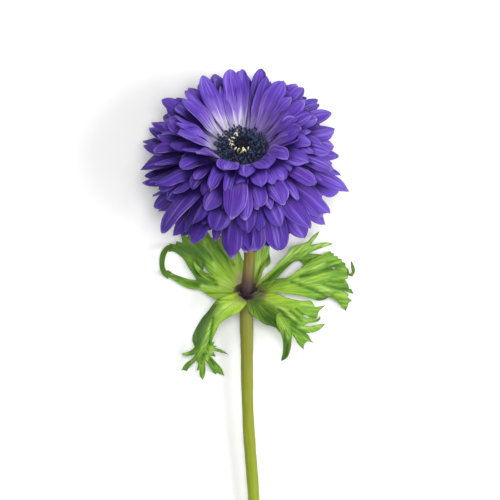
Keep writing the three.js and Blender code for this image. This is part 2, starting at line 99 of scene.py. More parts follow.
def turned_about_x(points, degrees):
    turn = math.radians(degrees)
    x, y, z = np.moveaxis(np.asarray(points, float), -1, 0)
    return np.stack([x, y * math.cos(turn) + z * math.sin(turn), z * math.cos(turn) - y * math.sin(turn)], -1)


def in_bloom(points):
    """From the bloom's own frame, Z along its axis, to the ruff's node's."""
    return turned_about_x(points, BLOOM_TILT) + BLOOM_CENTRE


def laid(points, thickness):
    """Soft tissue that would sink into the surface lies on it instead."""
    soft = 2
    rest = thickness / 2 + CLEARANCE
    above = points[..., 2] - rest
    lying = np.where(above < -soft, 0, (above + soft) ** 2 / (4 * soft))
    points[..., 2] = rest + np.where(above < soft, lying, above)
    return points


def through(rows, steps):
    """A smooth path through rows of numbers, with that many steps between neighbours."""
    rows = np.asarray(rows, float)
    ends = np.vstack([2 * rows[0] - rows[1], rows, 2 * rows[-1] - rows[-2]])
    t = (np.arange(steps) / steps)[:, None]
    path = []
    for a, b, c, d in zip(ends, ends[1:], ends[2:], ends[3:]):
        path.append(b + 0.5 * t * (c - a + t * (2 * a - 5 * b + 4 * c - d + t * (3 * (b - c) + d - a))))
    return np.vstack([*path, rows[-1:]])


def distance_to(points, path):
    """Distance of each [x, y] from a path, and how far along it the nearest place is, from 0 to 1."""
    starts, ways = path[:-1], np.diff(path, axis=0)
    lengths = np.linalg.norm(ways, axis=1)
    shares = np.einsum("psk,sk->ps", points[:, None] - starts, ways) / np.maximum(lengths**2, 1e-9)
    shares = np.clip(shares, 0, 1)
    gaps = np.linalg.norm(points[:, None] - starts - shares[..., None] * ways, axis=2)
    nearest = gaps.argmin(1)
    every = np.arange(len(points))
    walked = np.concatenate([[0], np.cumsum(lengths)])[:-1]
    along = (walked[nearest] + shares[every, nearest] * lengths[nearest]) / lengths.sum()
    return gaps[every, nearest], along


# ---- pieces: solids gathered in one mesh, with values for its material at each point ----
class Shape:
    def __init__(self):
        self.points = []
        self.faces = []
        self.values = {}
        self.count = 0

    def add(self, solid, **values):
        points, faces = solid
        self.points.append(points)
        self.faces += (np.array(group) + self.count for group in faces)
        self.count += len(points)
        for name, numbers in values.items():
            whole = np.broadcast_to(np.asarray(numbers, float), (len(points),))
            self.values.setdefault(name, []).append(whole)

    def piece(self, name, finish, slot, *nodes):
        points = (np.vstack(self.points) - FOOTPRINT_CENTRE) * MM
        mesh = bpy.data.meshes.new(name)
        mesh.from_pydata(points.tolist(), [], [face for group in self.faces for face in group.tolist()])
        mesh.polygons.foreach_set("use_smooth", [True] * len(mesh.polygons))
        mesh.set_sharp_from_angle(angle=math.radians(SHARP_RIM))
        for key, numbers in self.values.items():
            mesh.attributes.new(key, "FLOAT", "POINT").data.foreach_set("value", np.concatenate(numbers))
        mesh.update()
        made = bpy.data.objects.new(name, mesh)
        made.data.materials.append(finish)
        bpy.context.scene.collection.objects.link(made)
        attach(made, "root")
        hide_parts(*nodes)


def blade(middle, thickness):
    """A thin blade round a grid of points, which runs from its root to its tip and side to side."""
    rows, columns = middle.shape[:2]
    face = unit(np.cross(np.gradient(middle, axis=0), np.gradient(middle, axis=1)))
    half = face * thickness[..., None] / 2
    points = np.concatenate([(middle + half).reshape(-1, 3), (middle - half).reshape(-1, 3)])
    up = np.arange(rows * columns).reshape(rows, columns)
    down = up + rows * columns
    rim = np.concatenate([up[:, 0], up[-1, 1:], up[-2::-1, -1], up[0, -2:0:-1]])
    after = np.roll(rim, -1)
    under = rows * columns
    return points, [
        np.stack([up[:-1, :-1], up[1:, :-1], up[1:, 1:], up[:-1, 1:]], -1).reshape(-1, 4),
        np.stack([down[:-1, :-1], down[:-1, 1:], down[1:, 1:], down[1:, :-1]], -1).reshape(-1, 4),
        np.stack([rim, rim + under, after + under, after], -1),
    ]


def tube(path, radii, sides, ways=None, ribs=0):
    """A closed tube along a path, in rings of points, with that share of its radius as ribs."""
    path = np.asarray(path, float)
    ways = unit(np.gradient(path, axis=0) if ways is None else ways)
    turns = 2 * np.pi * np.arange(sides) / sides
    first = np.array([1.0, 0, 0]) if abs(ways[0, 0]) < 0.9 else np.array([0, 1.0, 0])
    rings = []
    for point, way, radius in zip(path, ways, radii):
        first = unit(first - way * first.dot(way))
        out = np.outer(np.cos(turns), first) + np.outer(np.sin(turns), np.cross(way, first))
        rings.append(point + out * (radius * (1 + ribs * np.cos(STEM_RIBS * turns)))[:, None])
    points = np.vstack([*rings, path[:1], path[-1:]])
    ring = np.arange(len(path) * sides).reshape(-1, sides)
    after = np.roll(ring, -1, axis=1)
    start, end = len(points) - 2, len(points) - 1
    return points, [
        np.stack([ring[:-1], after[:-1], after[1:], ring[1:]], -1).reshape(-1, 4),
        np.stack([np.full(sides, start), after[0], ring[0]], -1),
        np.stack([np.full(sides, end), ring[-1], after[-1]], -1),
    ]


def lathed(profile, sides):
    """A solid of revolution about Z from a path of [radius, height] that starts and ends on the axis."""
    radii, heights = np.asarray(profile, float).T
    path = np.stack([0 * heights, 0 * heights, heights], -1)
    return tube(path[1:-1], radii[1:-1], sides, ways=np.tile(UP, (len(path) - 2, 1)))


# ---- stem: cut end, ruff's node, nodding top ----
# [x, y, z, radius]: y from the ruff's node, towards the bloom.
STEM = [
    [4.6, -161, 2.28, 2.4], [4.4, -140, 3.4, 2.4], [4.0, -118, 4.4, 2.3], [3.3, -98, 5.2, 2.3],
    [2.5, -80, 6.0, 2.3], [1.2, -63, 6.7, 2.4], [0.4, -50, 7.3, 2.3], [0.0, -35, 7.9, 2.4],
    [-0.1, -20, 8.6, 2.6], [-0.3, -8, 9.3, 2.7], [-0.1, 0, 9.8, 2.5], [0.5, 8, 10.3, 2.2],
    [1.0, 17, 11.1, 2.2], [0.8, 27, 12.8, 2.2], [0.0, 36, 15.8, 2.3], [-1.1, 44, 20.0, 2.5],
]
HUB_FOOT = -10.2  # the receptacle's lower face, along the bloom's axis
# Radius and height of the cup where the leaves join, along its own axis: outside, lip, inside.
CUP = [
    [0, -4.4], [2.5, -4.3], [3.3, -3.4], [3.9, -2.2], [4.4, -1.1], [4.8, -0.2], [5.0, 0.7], [4.9, 1.3],
    [4.6, 1.6], [4.2, 1.4], [3.9, 0.6], [3.3, -0.6], [2.6, -1.6], [1.2, -2.0], [0, -2.0],
]
# The cup is painted near black round this point: painted shade of the recess under the upper stem.
HOLLOW = np.array([-0.1, -1, 0])  # middle of the dark hollow under the upper stem
# The cut face, as depth and share of the radius: a rim, a paler ring and a slightly sunken pith.
CUT = [(0.45, 0.2), (0.3, 0.5), (0.05, 0.85), (0, 0.96)]
TOP_RADII = 2.9, 3.4  # of its last two rows, just before and just inside the receptacle
RIPPLES = [(0.02, 0.31, 0), (0.012, 0.83, 1)]  # share of the radius, radians a millimetre, start
RIB_HEIGHT = 0.012  # as a share of the radius
STEM_SIDES = 54
STEM_STEPS = 14  # between neighbouring rows of STEM
CUP_SIDES = 72


def stem_shape():
    shape = Shape()
    top = in_bloom([[0, 0, HUB_FOOT - 3], [0, 0, HUB_FOOT + 1]])
    rows = STEM + [[*point, radius] for point, radius in zip(top, TOP_RADII)]
    path = through(rows, STEM_STEPS)
    points, radii = path[:, :3], path[:, 3]
    ways = unit(np.gradient(points, axis=0))
    ripple = 1
    for share, rate, start in RIPPLES:
        ripple = ripple + share * np.sin(points[:, 1] * rate + start)
    cut_points = [points[0] + ways[0] * depth for depth, _ in CUT]
    points = np.vstack([cut_points, points])
    ways = np.vstack([np.tile(ways[0], (len(CUT), 1)), ways])
    radii = np.concatenate([[radii[0] * share for _, share in CUT], radii * ripple])
    solid = tube(points, radii, STEM_SIDES, ways=ways, ribs=RIB_HEIGHT)
    solid[0][:, 2] = np.maximum(solid[0][:, 2], 0)
    face = np.repeat(np.arange(len(points)) < len(CUT), STEM_SIDES)
    shape.add(solid, along=solid[0][:, 1], cut=np.append(face, [True, False]), cup=0, hollow=0)
    cup = lathed(CUP, CUP_SIDES)
    cup_points = turned_about_x(cup[0], 90 - RUFF_TILT) + RUFF_NODE
    hollow = np.linalg.norm((cup_points - HOLLOW)[:, :2], axis=1)
    shape.add((cup_points, cup[1]), along=cup_points[:, 1], cut=0, cup=1, hollow=hollow)
    return shape


# ---- leaves: thin sheets with cut edges, and narrow ribbons, that share a leaf's foot ----
# A sheet's edge and hole are x, y from the ruff's node, seen from above, picked on the
# photograph at 0.4 mm a pixel. Its heights are x, y, z that the sheet's height is drawn through.
# Its veins run from its foot to its tips. Furrows, darker with painted shade in their creases, marks of
# painted shade, pale glints of painted highlight and dry husk are (half width, path). LOOP is a ribbon, from
# its root to its tip.
LOWER_LEFT = {
    "edge": xy(
        -10, -2,  -12, -3.2,  -13.6, -4.8,  -15.6, -7.6,  -18, -10.4,  -20, -13.6,  -21.6, -16.8,
        -22, -19.6,  -21, -22.2,  -23.2, -24,  -26.6, -24.9,  -25, -25.8,  -22.4, -25.6,  -20.4, -24.8,
        -22.4, -27.2,  -25, -29.2,  -26.6, -32,  -25.6, -31.6,  -24.4, -32.2,  -22.8, -30,
        -20.2, -27.4,  -19.8, -29.6,  -20.4, -31.8,  -19.2, -31.4,  -19, -34,  -17.9, -35.8,
        -17, -33.6,  -16.8, -30.4,  -17, -27.2,  -15.2, -30,  -13.8, -32.4,  -12.6, -33.4,
        -12.2, -32.6,  -9.2, -34,  -10.2, -31.2,  -13.2, -27.6,  -15, -25.6,  -12.7, -26.1,
        -13.2, -24.6,  -14.4, -23.4,  -11.2, -24.2,  -7.2, -25.4,  -10.4, -23.2,  -13, -22.4,
        -12, -21.8,  -13.6, -21.4,  -12.9, -19.8,  -14, -20.2,  -13.6, -18.4,  -12.2, -15.6,
        -11.2, -13.2,  -9.6, -11.6,  -6.4, -9.6,  -3.2, -8.2,  -1.2, -6,  -0.1, -4.6,  -0.3, -3.3,
        -1.6, -2.6,  -2.6, -1.2,  -2.9, 0.2,  -5.2, -0.4,
    ),
    "heights": xyz(
        0, -3, 14,  -3, -6, 14.8,  -5, -2, 14.2,  -10, -6, 15.8,  -13, -4, 13.4,  -15.6, -7.6, 11.6,
        -15, -12, 14,  -17, -16.6, 12.6,  -20, -13.6, 7.6,  -12, -16, 12.4,  -17, -20, 11,
        -22, -19, 6.4,  -16, -24, 8.8,  -26.6, -25, 5,  -25.6, -31.8, 2.6,  -19.6, -31, 3.4,
        -18, -35.6, 1.6,  -12, -33, 2.4,  -9.2, -34, 1.4,  -7.4, -25.4, 6.2,  -12.6, -26, 6,
    ),
    "veins": [
        xy(-3, -3,  -9, -6.4,  -13.4, -12,  -15.4, -18,  -17.2, -24,  -18, -30,  -17.9, -35.2),
        xy(-4, -1.4,  -10, -4.4,  -14.6, -9,  -17.6, -13.2,  -20, -18.5,  -21.4, -21.6),
        xy(-3, -5,  -8.4, -9,  -12, -14,  -14.2, -20),
        xy(-16.2, -21,  -20.6, -24.2,  -26, -24.9),
        xy(-16.4, -22,  -21.4, -27.4,  -26, -31.6),
        xy(-16.6, -23,  -13.6, -28.4,  -9.8, -33.4),
        xy(-15.6, -20.4,  -13.2, -23,  -8, -25.2),
    ],
    "furrows": [
        (1.3, xy(-12.6, -4.4,  -15.6, -9,  -17.8, -13.4,  -20, -20)),
        (2.3, xy(-15.4, -8.4,  -19.4, -13.6,  -21.2, -18)),
        (0.5, xy(-13.6, -10,  -14.4, -15.4,  -15.2, -21)),
        (0.4, xy(-17.4, -25,  -18.6, -29)),
        (0.5, xy(-16.4, -25,  -13.4, -29.4)),
    ],
    "painted_shades": [
        (3, xy(-15.4, -7.6,  -20, -13,  -21.6, -20)),
        (1.6, xy(-22, -25.6,  -26, -30.6)),
    ],
    "glints": [
        (1.6, xy(-3, -4,  -8, -5.2,  -12, -9)),
        (0.6, xy(-21, -15.6,  -20.8, -19)),
        (0.6, xy(-14.4, -11.4,  -15.6, -16,  -18.4, -22)),
    ],
}
LOWER_RIGHT = {
    "edge": xy(
        -0.2, -4.6,  0.2, -6.2,  1.6, -8.8,  4, -10.8,  6.8, -12.8,  9.6, -13.6,  11.6, -14.4,
        13.6, -16.4,  17.2, -16.4,  18.8, -18,  20.4, -20.8,  22.8, -23.2,  22.8, -21.2,  24, -19.8,
        25.2, -20,  26.8, -20.6,  25.6, -19.2,  24.4, -17.2,  23.6, -16.4,  27.2, -16,  30, -14.4,
        31.4, -12.7,  28.4, -13,  25.2, -13.6,  22.8, -13.4,  24.4, -12.4,  26.8, -12.2,  28.4, -11.8,
        29.5, -10.8,  29.2, -9.6,  28, -10.8,  26.4, -11,  28, -10.4,  28.6, -8,  30, -6.6,  31.6, -5.2,
        29.2, -5.8,  27.2, -6,  25.6, -3.6,  22, -3.5,  16, -2.3,  12.8, -0.8,  9.2, -0.4,  4.4, 0,
        2.8, 0.2,  2.5, -1.2,  1.5, -2.6,  0.2, -3.3,
    ),
    "hole": xy(22.4, -9.2,  23.4, -9.2,  25, -10.4,  24, -10.4,  22.6, -9.7),
    "heights": xyz(
        1, -3, 13.8,  4, -5, 14.8,  3, -9, 13,  9, -12, 13.8,  12, -8, 17.4,  16, -13, 15.6,
        20, -12, 17,  22.8, -22, 10.6,  26.8, -20.4, 9.6,  19, -17, 13.6,  27, -14.6, 12.4,
        31.4, -12.7, 9.4,  21, -7, 16.4,  28, -9.6, 12.4,  31.6, -5.2, 9.8,  24, -4, 13.6,  14, -2, 14,
        7, -0.6, 13,
    ),
    "veins": [
        xy(1.6, -3,  10, -4.6,  20, -5,  31, -5.4),
        xy(1.8, -3.4,  10, -7,  19, -10,  25, -11.4,  29, -10.6),
        xy(1.8, -3.8,  9, -9,  17, -12.6,  24, -14.4,  30.6, -13.2),
        xy(1.8, -4.2,  8, -10,  14.6, -14,  21, -17.8,  26, -20.2),
        xy(14.6, -14,  19, -17.4,  22.6, -22.4),
        xy(1.6, -5,  6, -9.4,  10, -13.2),
        xy(10, -4.6,  18, -3.6,  25, -4.2),
    ],
    "furrows": [
        (0.7, xy(12.4, -7,  16, -10,  19.4, -12.8)),
        (0.6, xy(17.4, -13,  21, -15.4,  24.6, -17.4)),
        (2.6, xy(1.6, -6,  5.6, -9.4,  10.4, -11.8,  12.4, -13.6)),
        (0.6, xy(6, -5.6,  9.4, -9,  12.4, -12)),
        (0.4, xy(19.4, -6.4,  22.6, -9.2)),
        (0.5, xy(25, -9.6,  28, -10.6)),
        (0.5, xy(17, -7.4,  21.6, -11.4)),
    ],
    "painted_shades": [
        (3.4, xy(4, -4.6,  8, -6.6,  12.6, -9.4)),
        (3, xy(8, -10.6,  12.6, -13)),
    ],
    "glints": [
        (0.7, xy(8, -3.2,  14, -6.4,  18.6, -10.6)),
        (0.5, xy(21.4, -4.6,  26.4, -5.4)),
        (0.5, xy(20, -14.6,  26, -13.4,  29.6, -13)),
    ],
}
LOWER_RIGHT_FOLD = {
    "edge": xy(
        12, -13.6,  13.2, -16,  14.2, -19.2,  14.4, -23.2,  14, -26,  13.6, -27.9,  15.2, -27.2,
        16.6, -25.6,  17.6, -22,  17.8, -19.2,  18, -17.6,  17.6, -14.8,  15.6, -11.2,  13.2, -7.6,
        11.6, -9.2,
    ),
    "heights": xyz(
        12.6, -8.4, 18.2,  14.4, -14, 18.4,  15.8, -19, 15,  15.6, -24, 10.4,  13.6, -27.9, 6.4,
    ),
    "veins": [
        xy(12.6, -8.6,  14.8, -14,  16, -20,  14, -27.2),
    ],
    "furrows": [
        (0.9, xy(16.4, -20.4,  15.6, -24.6,  14.2, -27.4)),
        (0.5, xy(14.9, -15.6,  15, -20)),
    ],
    "painted_shades": [
        (1.6, xy(15.6, -20,  14.4, -27)),
    ],
    "glints": [
        (0.7, xy(13, -10.6,  15.4, -14.6,  16.4, -18)),
    ],
}
RIGHT = {
    "edge": xy(
        4.4, 0.8,  6, 3.2,  9.2, 4.6,  11.8, 5.2,  16.4, 6,  20, 8.4,  23, 10.8,  26.8, 13.6,  30.4, 15,
        32, 16,  33.6, 16.4,  33.4, 15.4,  34.8, 15.6,  35, 14.4,  36.4, 14.4,  36.6, 13.4,  38, 13.2,
        38.4, 12,  39.6, 11.6,  39.8, 10,  40.8, 9.2,  41, 7.6,  40.4, 5.2,  39.4, 5,  40.8, 2.8,
        41.2, 1.2,  42, 1.2,  43.2, -1,  41.4, -0.4,  38.8, 0.6,  41.2, -1.4,  40.4, -2,  42.4, -3.6,
        41, -4.6,  40.8, -5.6,  39.8, -7.8,  38.4, -6.6,  37.2, -4.8,  35.2, -3.2,  33.2, -2.2,
        31.2, -3.2,  28.4, -3.6,  25.6, -2.7,  22.2, -1.7,  16, -0.7,  12, -0.2,  8.4, -1.2,  4.4, -2.4,
    ),
    "hole": xy(33.6, 9.8,  34.8, 10,  35.8, 9.4,  34.8, 8.9),
    "heights": xyz(
        4, 0, 10,  6, 3, 10,  9, 4.6, 10,  10, 2, 10.4,  18, 4, 11,  22, 9, 9.6,  26, 7, 10.8,
        32, 8, 9.4,  31, 14, 7,  36, 13, 5.6,  40, 8, 5,  37, 2, 6.4,  43, -1, 1.4,  40, -6, 2,
        34, -2.4, 5.4,  28, -2.6, 7.4,  20, -1.2, 8.8,  10, -0.6, 9.4,
    ),
    "veins": [
        xy(5, -0.6,  14, 0.2,  24, -1.2,  33, -1.6,  39.4, -7),
        xy(5, 0,  14, 1.8,  25, 2.6,  35, 0.6,  42.4, -1),
        xy(5.4, 0.8,  14, 3.2,  24, 5.4,  33, 5.6,  40.4, 3.6),
        xy(5.8, 1.4,  13, 4.2,  22, 8,  31, 9.8,  40, 9),
        xy(6, 2,  12, 4.8,  20, 8,  27, 11.8,  36, 13.2),
        xy(20, 8,  26, 12.6,  33, 16),
    ],
    "furrows": [
        (0.6, xy(17.6, 4,  24, 1.6,  29.6, -0.8,  32.4, -2.2)),
        (0.5, xy(30.6, 2.8,  36, 1.4,  40, 1)),
        (0.6, xy(21.2, 6.2,  28, 7.6,  33, 9.6,  36, 10.6)),
        (1.2, xy(32.2, 9.4,  36.4, 9.6)),
        (0.7, xy(33, 4.6,  38.6, 4.2)),
        (0.9, xy(28, -3.2,  31.6, -2.8,  34, -1.6)),
    ],
    "painted_shades": [
        (3, xy(5, 1.4,  9, 3.4,  14.4, 6)),
    ],
    "glints": [
        (0.7, xy(22, 4.4,  28, 2.6,  34, 0)),
        (0.8, xy(22, 8.6,  27, 10,  31, 11.6)),
        (0.4, xy(29, 0.8,  31.4, -0.4)),
    ],
}
RIGHT_UPPER_LOBE = {
    "edge": xy(
        3.6, 3.2,  5, 4.4,  8, 7.2,  11.2, 10,  13.6, 12.8,  15.6, 14.4,  16.8, 16,  18, 17.8,
        21.2, 19,  24.4, 20.2,  26.4, 22.4,  29.2, 24.4,  28.4, 22.6,  26.8, 20.6,  25.6, 18.8,
        29.2, 19.4,  32.4, 19.9,  34.8, 19.3,  31.2, 18,  27.6, 16.8,  24.8, 15.4,  28.4, 15.2,
        30.4, 15,  33.6, 16.4,  34.4, 15.2,  33.2, 13.6,  28.4, 12,  23, 10.4,  22, 11.8,  20.8, 12.6,
        18.8, 12,  16.4, 10,  14, 7.6,  11.8, 5.2,  8.4, 1.6,  3.6, -0.4,
    ),
    "heights": xyz(
        4, 0, 10,  6, 3, 10,  9, 4.6, 10,  12, 5.6, 9.2,  12, 9.4, 7,  18, 14, 4.4,  23, 17, 3.8,
        29, 24.4, 3,  34.8, 19.4, 1.4,  26, 13, 3.4,  33, 15, 2.2,
    ),
    "veins": [
        xy(4.4, 1.6,  9.6, 7.4,  15.4, 13,  21, 17,  28.8, 24),
        xy(18, 15.2,  26, 18,  34, 19.2),
        xy(16, 12.4,  24, 13.6,  33, 15.6),
    ],
    "furrows": [
        (1.0, xy(6.6, 3.4,  12, 8.2,  17, 11.4)),
        (0.6, xy(17, 11.6,  24, 12.4,  31, 13.4)),
    ],
    "painted_shades": [
        (2.6, xy(8, 3.4,  14, 7,  19, 10.4)),
    ],
    "glints": [
        (1.4, xy(16.4, 15,  21, 17,  25, 18.6)),
        (1.0, xy(20, 16,  27, 18,  33, 19.2)),
        (0.8, xy(26, 21,  28.4, 23.6)),
    ],
}
RIGHT_HOOK = {
    "edge": xy(
        39.6, 8.8,  41.2, 6.4,  42.4, 6.2,  43.4, 8.4,  42.8, 10.8,  41.7, 12.7,  41.8, 10,  42.1, 8,
        41.4, 7.1,  40.6, 8.8,
    ),
    "heights": xyz(39.6, 8.8, 5.2,  41.4, 6.6, 6.2,  43.2, 8.6, 7,  41.7, 12.7, 8.4),
    "veins": [
        xy(40.4, 8.4,  42.2, 7,  42.8, 9,  41.8, 12.2),
    ],
}
UPPER_LEFT = {
    "edge": xy(
        -11.8, -3.2,  -14.4, -2.2,  -16.8, -0.6,  -19, 0.8,  -21.6, 1,  -24.4, 1.6,  -27.6, 3.4,
        -30.8, 5.4,  -32.8, 6.6,  -33.2, 8,  -31.8, 8.8,  -30, 7.4,  -27.6, 6.4,  -24, 5.2,  -20.2, 4.6,
        -22, 7.4,  -24, 10.4,  -26, 13.6,  -28, 15.2,  -29.8, 16.2,  -31.8, 16,  -31.2, 17.4,
        -32.4, 17.8,  -30.6, 18.6,  -31.4, 19.6,  -29, 19,  -28.4, 20.4,  -26, 19.6,  -26.8, 23.2,
        -24, 22,  -22.4, 25.6,  -20, 22.8,  -16, 24.4,  -14.4, 21.6,  -9.6, 22.8,  -8, 19.6,  -4, 18.8,
        -2.4, 14.4,  -0.4, 9.6,  -0.4, 4,  -0.4, 0,  -3.6, -2,  -8.4, -3.2,
    ),
    "hole": xy(-17.4, 11,  -16.4, 8.8,  -13.8, 6.6,  -17.6, 8.2),
    "heights": xyz(
        0, 0, 8.8,  -6, 0.5, 7.6,  -12, 0.5, 6,  -20, 2.4, 4.2,  -27, 5, 3,  -33, 7.6, 3.4,  -8, 6, 5.4,
        -14, 9, 3.8,  -22, 12, 2.2,  -28, 16, 1,  -32, 18.5, 1.8,  -4, 10, 3.4,  -6, 18, 1.2,
        -16, 19, 1,  -22, 24, 0.4,  -13, 23, 0.4,  -7, 22, 0.4,
    ),
    "veins": [
        xy(-1.6, -0.4,  -9, -1,  -18, 2,  -26, 4,  -32.6, 7.6),
        xy(-1.6, 0.4,  -10, 3,  -18, 8.4,  -25, 14.6,  -31.2, 17.6),
        xy(-1.6, 1,  -9, 5.4,  -15, 12,  -21, 18,  -26.4, 22.4),
        xy(-1.4, 1.6,  -7, 7,  -12, 14,  -17, 20,  -22, 24.6),
        xy(-1.2, 2,  -5, 8,  -8.6, 15,  -12, 21.6),
        xy(-1, 2.4,  -3, 8,  -5, 14,  -6.6, 19.2),
    ],
    "furrows": [
        (0.7, xy(-16.2, 19,  -15.4, 16,  -14.2, 12.8)),
        (0.7, xy(-11.6, 17.6,  -9, 14.6,  -5.8, 11)),
        (1.6, xy(-19.6, 8,  -20.6, 12,  -25, 17)),
        (1.0, xy(-18.6, 9.4,  -18, 12.4,  -21, 15.6)),
        (0.8, xy(-12.4, 3,  -15.6, 5.2,  -18.6, 7.4)),
        (0.9, xy(-20, 2.6,  -25, 4,  -30, 6.8)),
        (0.8, xy(-24.6, 16.2,  -30, 18)),
    ],
    "painted_shades": [
        (4.6, xy(-30, 14,  -24, 17,  -19, 15.6)),
        (2.4, xy(-21, 12,  -19.4, 5.6,  -17, 4)),
        (1.6, xy(-33, 7.4,  -29, 5.4)),
    ],
    "glints": [
        (0.8, xy(-5, 2,  -12, 1.4,  -18, 2.4)),
        (2.4, xy(-3, 1,  -6, 3,  -9.4, 3.6)),
        (2.4, xy(-9, -1.6,  -5, -1.4)),
        (2.2, xy(-2.6, 5,  -4.2, 10,  -5, 14)),
        (0.7, xy(-4.4, 6,  -6.6, 11,  -8.6, 16)),
        (0.7, xy(-12.6, 8.6,  -14.6, 15,  -17.4, 19.6)),
        (0.8, xy(-29, 5.6,  -33, 8)),
    ],
    "husk": [
        (1.3, xy(-2.4, 1,  -2.9, 3.6,  -3, 6)),
    ],
}
UPPER_LEFT_FOLD = {
    "edge": xy(
        -21.4, 12.6,  -19.8, 10.6,  -17.6, 8.6,  -15.4, 6.9,  -13, 5,  -10.4, 3.4,  -12.6, 2.6,
        -15.6, 4.2,  -18.2, 6.2,  -20.4, 8.6,  -21.4, 10.8,
    ),
    "heights": xyz(
        -10.4, 3.4, 5.4,  -13, 4.6, 5.8,  -17, 7.4, 6.2,  -21.4, 12.6, 7.6,  -15.6, 4.2, 4.6,
        -20.6, 8.8, 5.4,
    ),
    "veins": [
        xy(-12, 3.6,  -17, 7,  -21.2, 11.8),
    ],
    "furrows": [
        (0.7, xy(-11, 3.2,  -15, 5.2,  -19, 8)),
    ],
    "glints": [
        (1.0, xy(-21, 11.6,  -19, 9.6)),
    ],
}
BACK = {
    "edge": xy(
        2, -0.8,  2, 2.4,  3, 8.8,  2.8, 16,  2, 20.8,  4, 19.6,  5.2, 23.2,  7.2, 20.4,  9.6, 20.8,
        9, 16.4,  9.3, 11.6,  6.8, 9.2,  6, 6.8,  4.6, 4,  4, 0.8,
    ),
    "heights": xyz(
        3, 0, 6.8,  4, 5, 5,  5.6, 10, 3.4,  6, 15, 2,  6, 20, 1,  5.2, 23, 0.4,  9.4, 20.6, 0.4,
    ),
    "veins": [
        xy(3.2, 0.6,  4.8, 8,  5.4, 15,  5.2, 22.4),
        xy(3.6, 1,  6.4, 8,  8, 14,  9.2, 20.2),
        xy(3, 1,  3.6, 9,  2.8, 19.8),
    ],
    "furrows": [
        (0.8, xy(3.6, 5,  5.6, 10,  8.8, 14)),
    ],
    "glints": [
        (2.6, xy(4, 9,  5.2, 14,  6.4, 19)),
    ],
}
LOOP = xyzw(
    -31.2, 6.6, 3, 1.6,  -33.4, 8, 4.6, 1.1,  -34.2, 11, 6.2, 1,  -33.8, 14.6, 6, 1.1,
    -32.4, 17.2, 4.2, 1,  -30.4, 18.2, 2.2, 1,
)
# Each leaf's sheets, and its ribbons.
LEAVES = {
    "leaf_lower_left": ([LOWER_LEFT], []),
    "leaf_lower_right": ([LOWER_RIGHT, LOWER_RIGHT_FOLD], []),
    "leaf_right": ([RIGHT, RIGHT_UPPER_LOBE, RIGHT_HOOK], []),
    "leaf_upper_left": ([UPPER_LEFT, UPPER_LEFT_FOLD], [LOOP]),
    "leaf_back": ([BACK], []),
}
LEAF_THICKNESS = 0.6
LEAF_STEP = 0.6  # between neighbouring points of a sheet
LEAF_PLEAT = 1.2  # how far the leaf dips along a vein
PLEAT_REACH = 1.3  # distance from the vein over which the dip fades
LEAF_WAVE = 0.16
THIN_RIM = 0.3  # thickness at a sheet's rim, as a share of the whole
THIN_REACH = 0.7  # how far in from the rim it is thinner
RIBBON_TROUGH = 0.35  # how far a ribbon's sides rise, as a share of its half width
FURROW_DEPTH = 0.9
COLLAR = np.array([1.7, -0.1])  # middle of the brown collar round the node
COLLAR_SQUASH = 1.4  # how much shorter it is along the stem
SHARP = 58  # degrees of turn at which a point of an edge is a tip or a notch
ROW_SPACING = 0.87  # of rows of points, as a share of their step, for even triangles
RIM_MARGIN = 0.45  # share of a step round the rim that is kept free of inner points
HEIGHT_SOFTNESS = 2.5
PATH_STEPS = 6  # between neighbouring points of a vein or a mark
RIBBON_STEPS = 8
RIBBON_COLUMNS = 9


def curved_loop(loop):
    """A loop with its tips and notches kept sharp and the stretches between them curved."""
    points = np.asarray(loop, float)
    before, after = np.roll(points, 1, axis=0), np.roll(points, -1, axis=0)
    turn = np.degrees(np.arccos(np.clip((unit(points - before) * unit(after - points)).sum(1), -1, 1)))
    level = unit(after - before)
    made = []
    for i, start in enumerate(points):
        j = (i + 1) % len(points)
        way = points[j] - start
        length = np.linalg.norm(way)
        leaving = way if turn[i] > SHARP else level[i] * length
        arriving = way if turn[j] > SHARP else level[j] * length
        steps = max(2, round(length / LEAF_STEP))
        t = (np.arange(steps) / steps)[:, None]
        made.append(
            (2 * t**3 - 3 * t**2 + 1) * start
            + (t**3 - 2 * t**2 + t) * leaving
            + (3 * t**2 - 2 * t**3) * points[j]
            + (t**3 - t**2) * arriving
        )
    return np.vstack(made)


def inside(points, loops):
    x, y = points.T[..., None]
    crossed = 0
    for loop in loops:
        (ax, ay), (bx, by) = loop.T, np.roll(loop, -1, axis=0).T
        spans = (ay > y) != (by > y)
        at = ax + (y - ay) / np.where(by == ay, 1, by - ay) * (bx - ax)
        crossed = crossed + (spans & (x < at)).sum(1)
    return crossed % 2 == 1


def rim_distance(points, loops):
    return np.min([distance_to(points, np.vstack([loop, loop[:1]]))[0] for loop in loops], axis=0)


def drawn_height(heights, points):
    """A smooth height through the given ones."""
    heights = np.asarray(heights, float)

    def spread(a, b):
        return np.sqrt(((a[:, None] - b) ** 2).sum(2) + HEIGHT_SOFTNESS**2)

    mean = heights[:, 2].mean()
    weights = np.linalg.solve(spread(heights[:, :2], heights[:, :2]), heights[:, 2] - mean)
    return mean + spread(points, heights[:, :2]) @ weights


def collar_reach(points):
    """Distance from the middle of the brown collar, counted more along the stem."""
    return np.linalg.norm((points - COLLAR) * [1, COLLAR_SQUASH], axis=-1)


def marked(points, marks):
    """How strongly any of the marks shows at each point, from 0 to 1."""
    strengths = [np.zeros(len(points))]
    for width, path in marks:
        gaps, _ = distance_to(points, through(path, PATH_STEPS))
        strengths.append(np.exp(-((gaps / width) ** 2)))
    return np.max(strengths, axis=0)


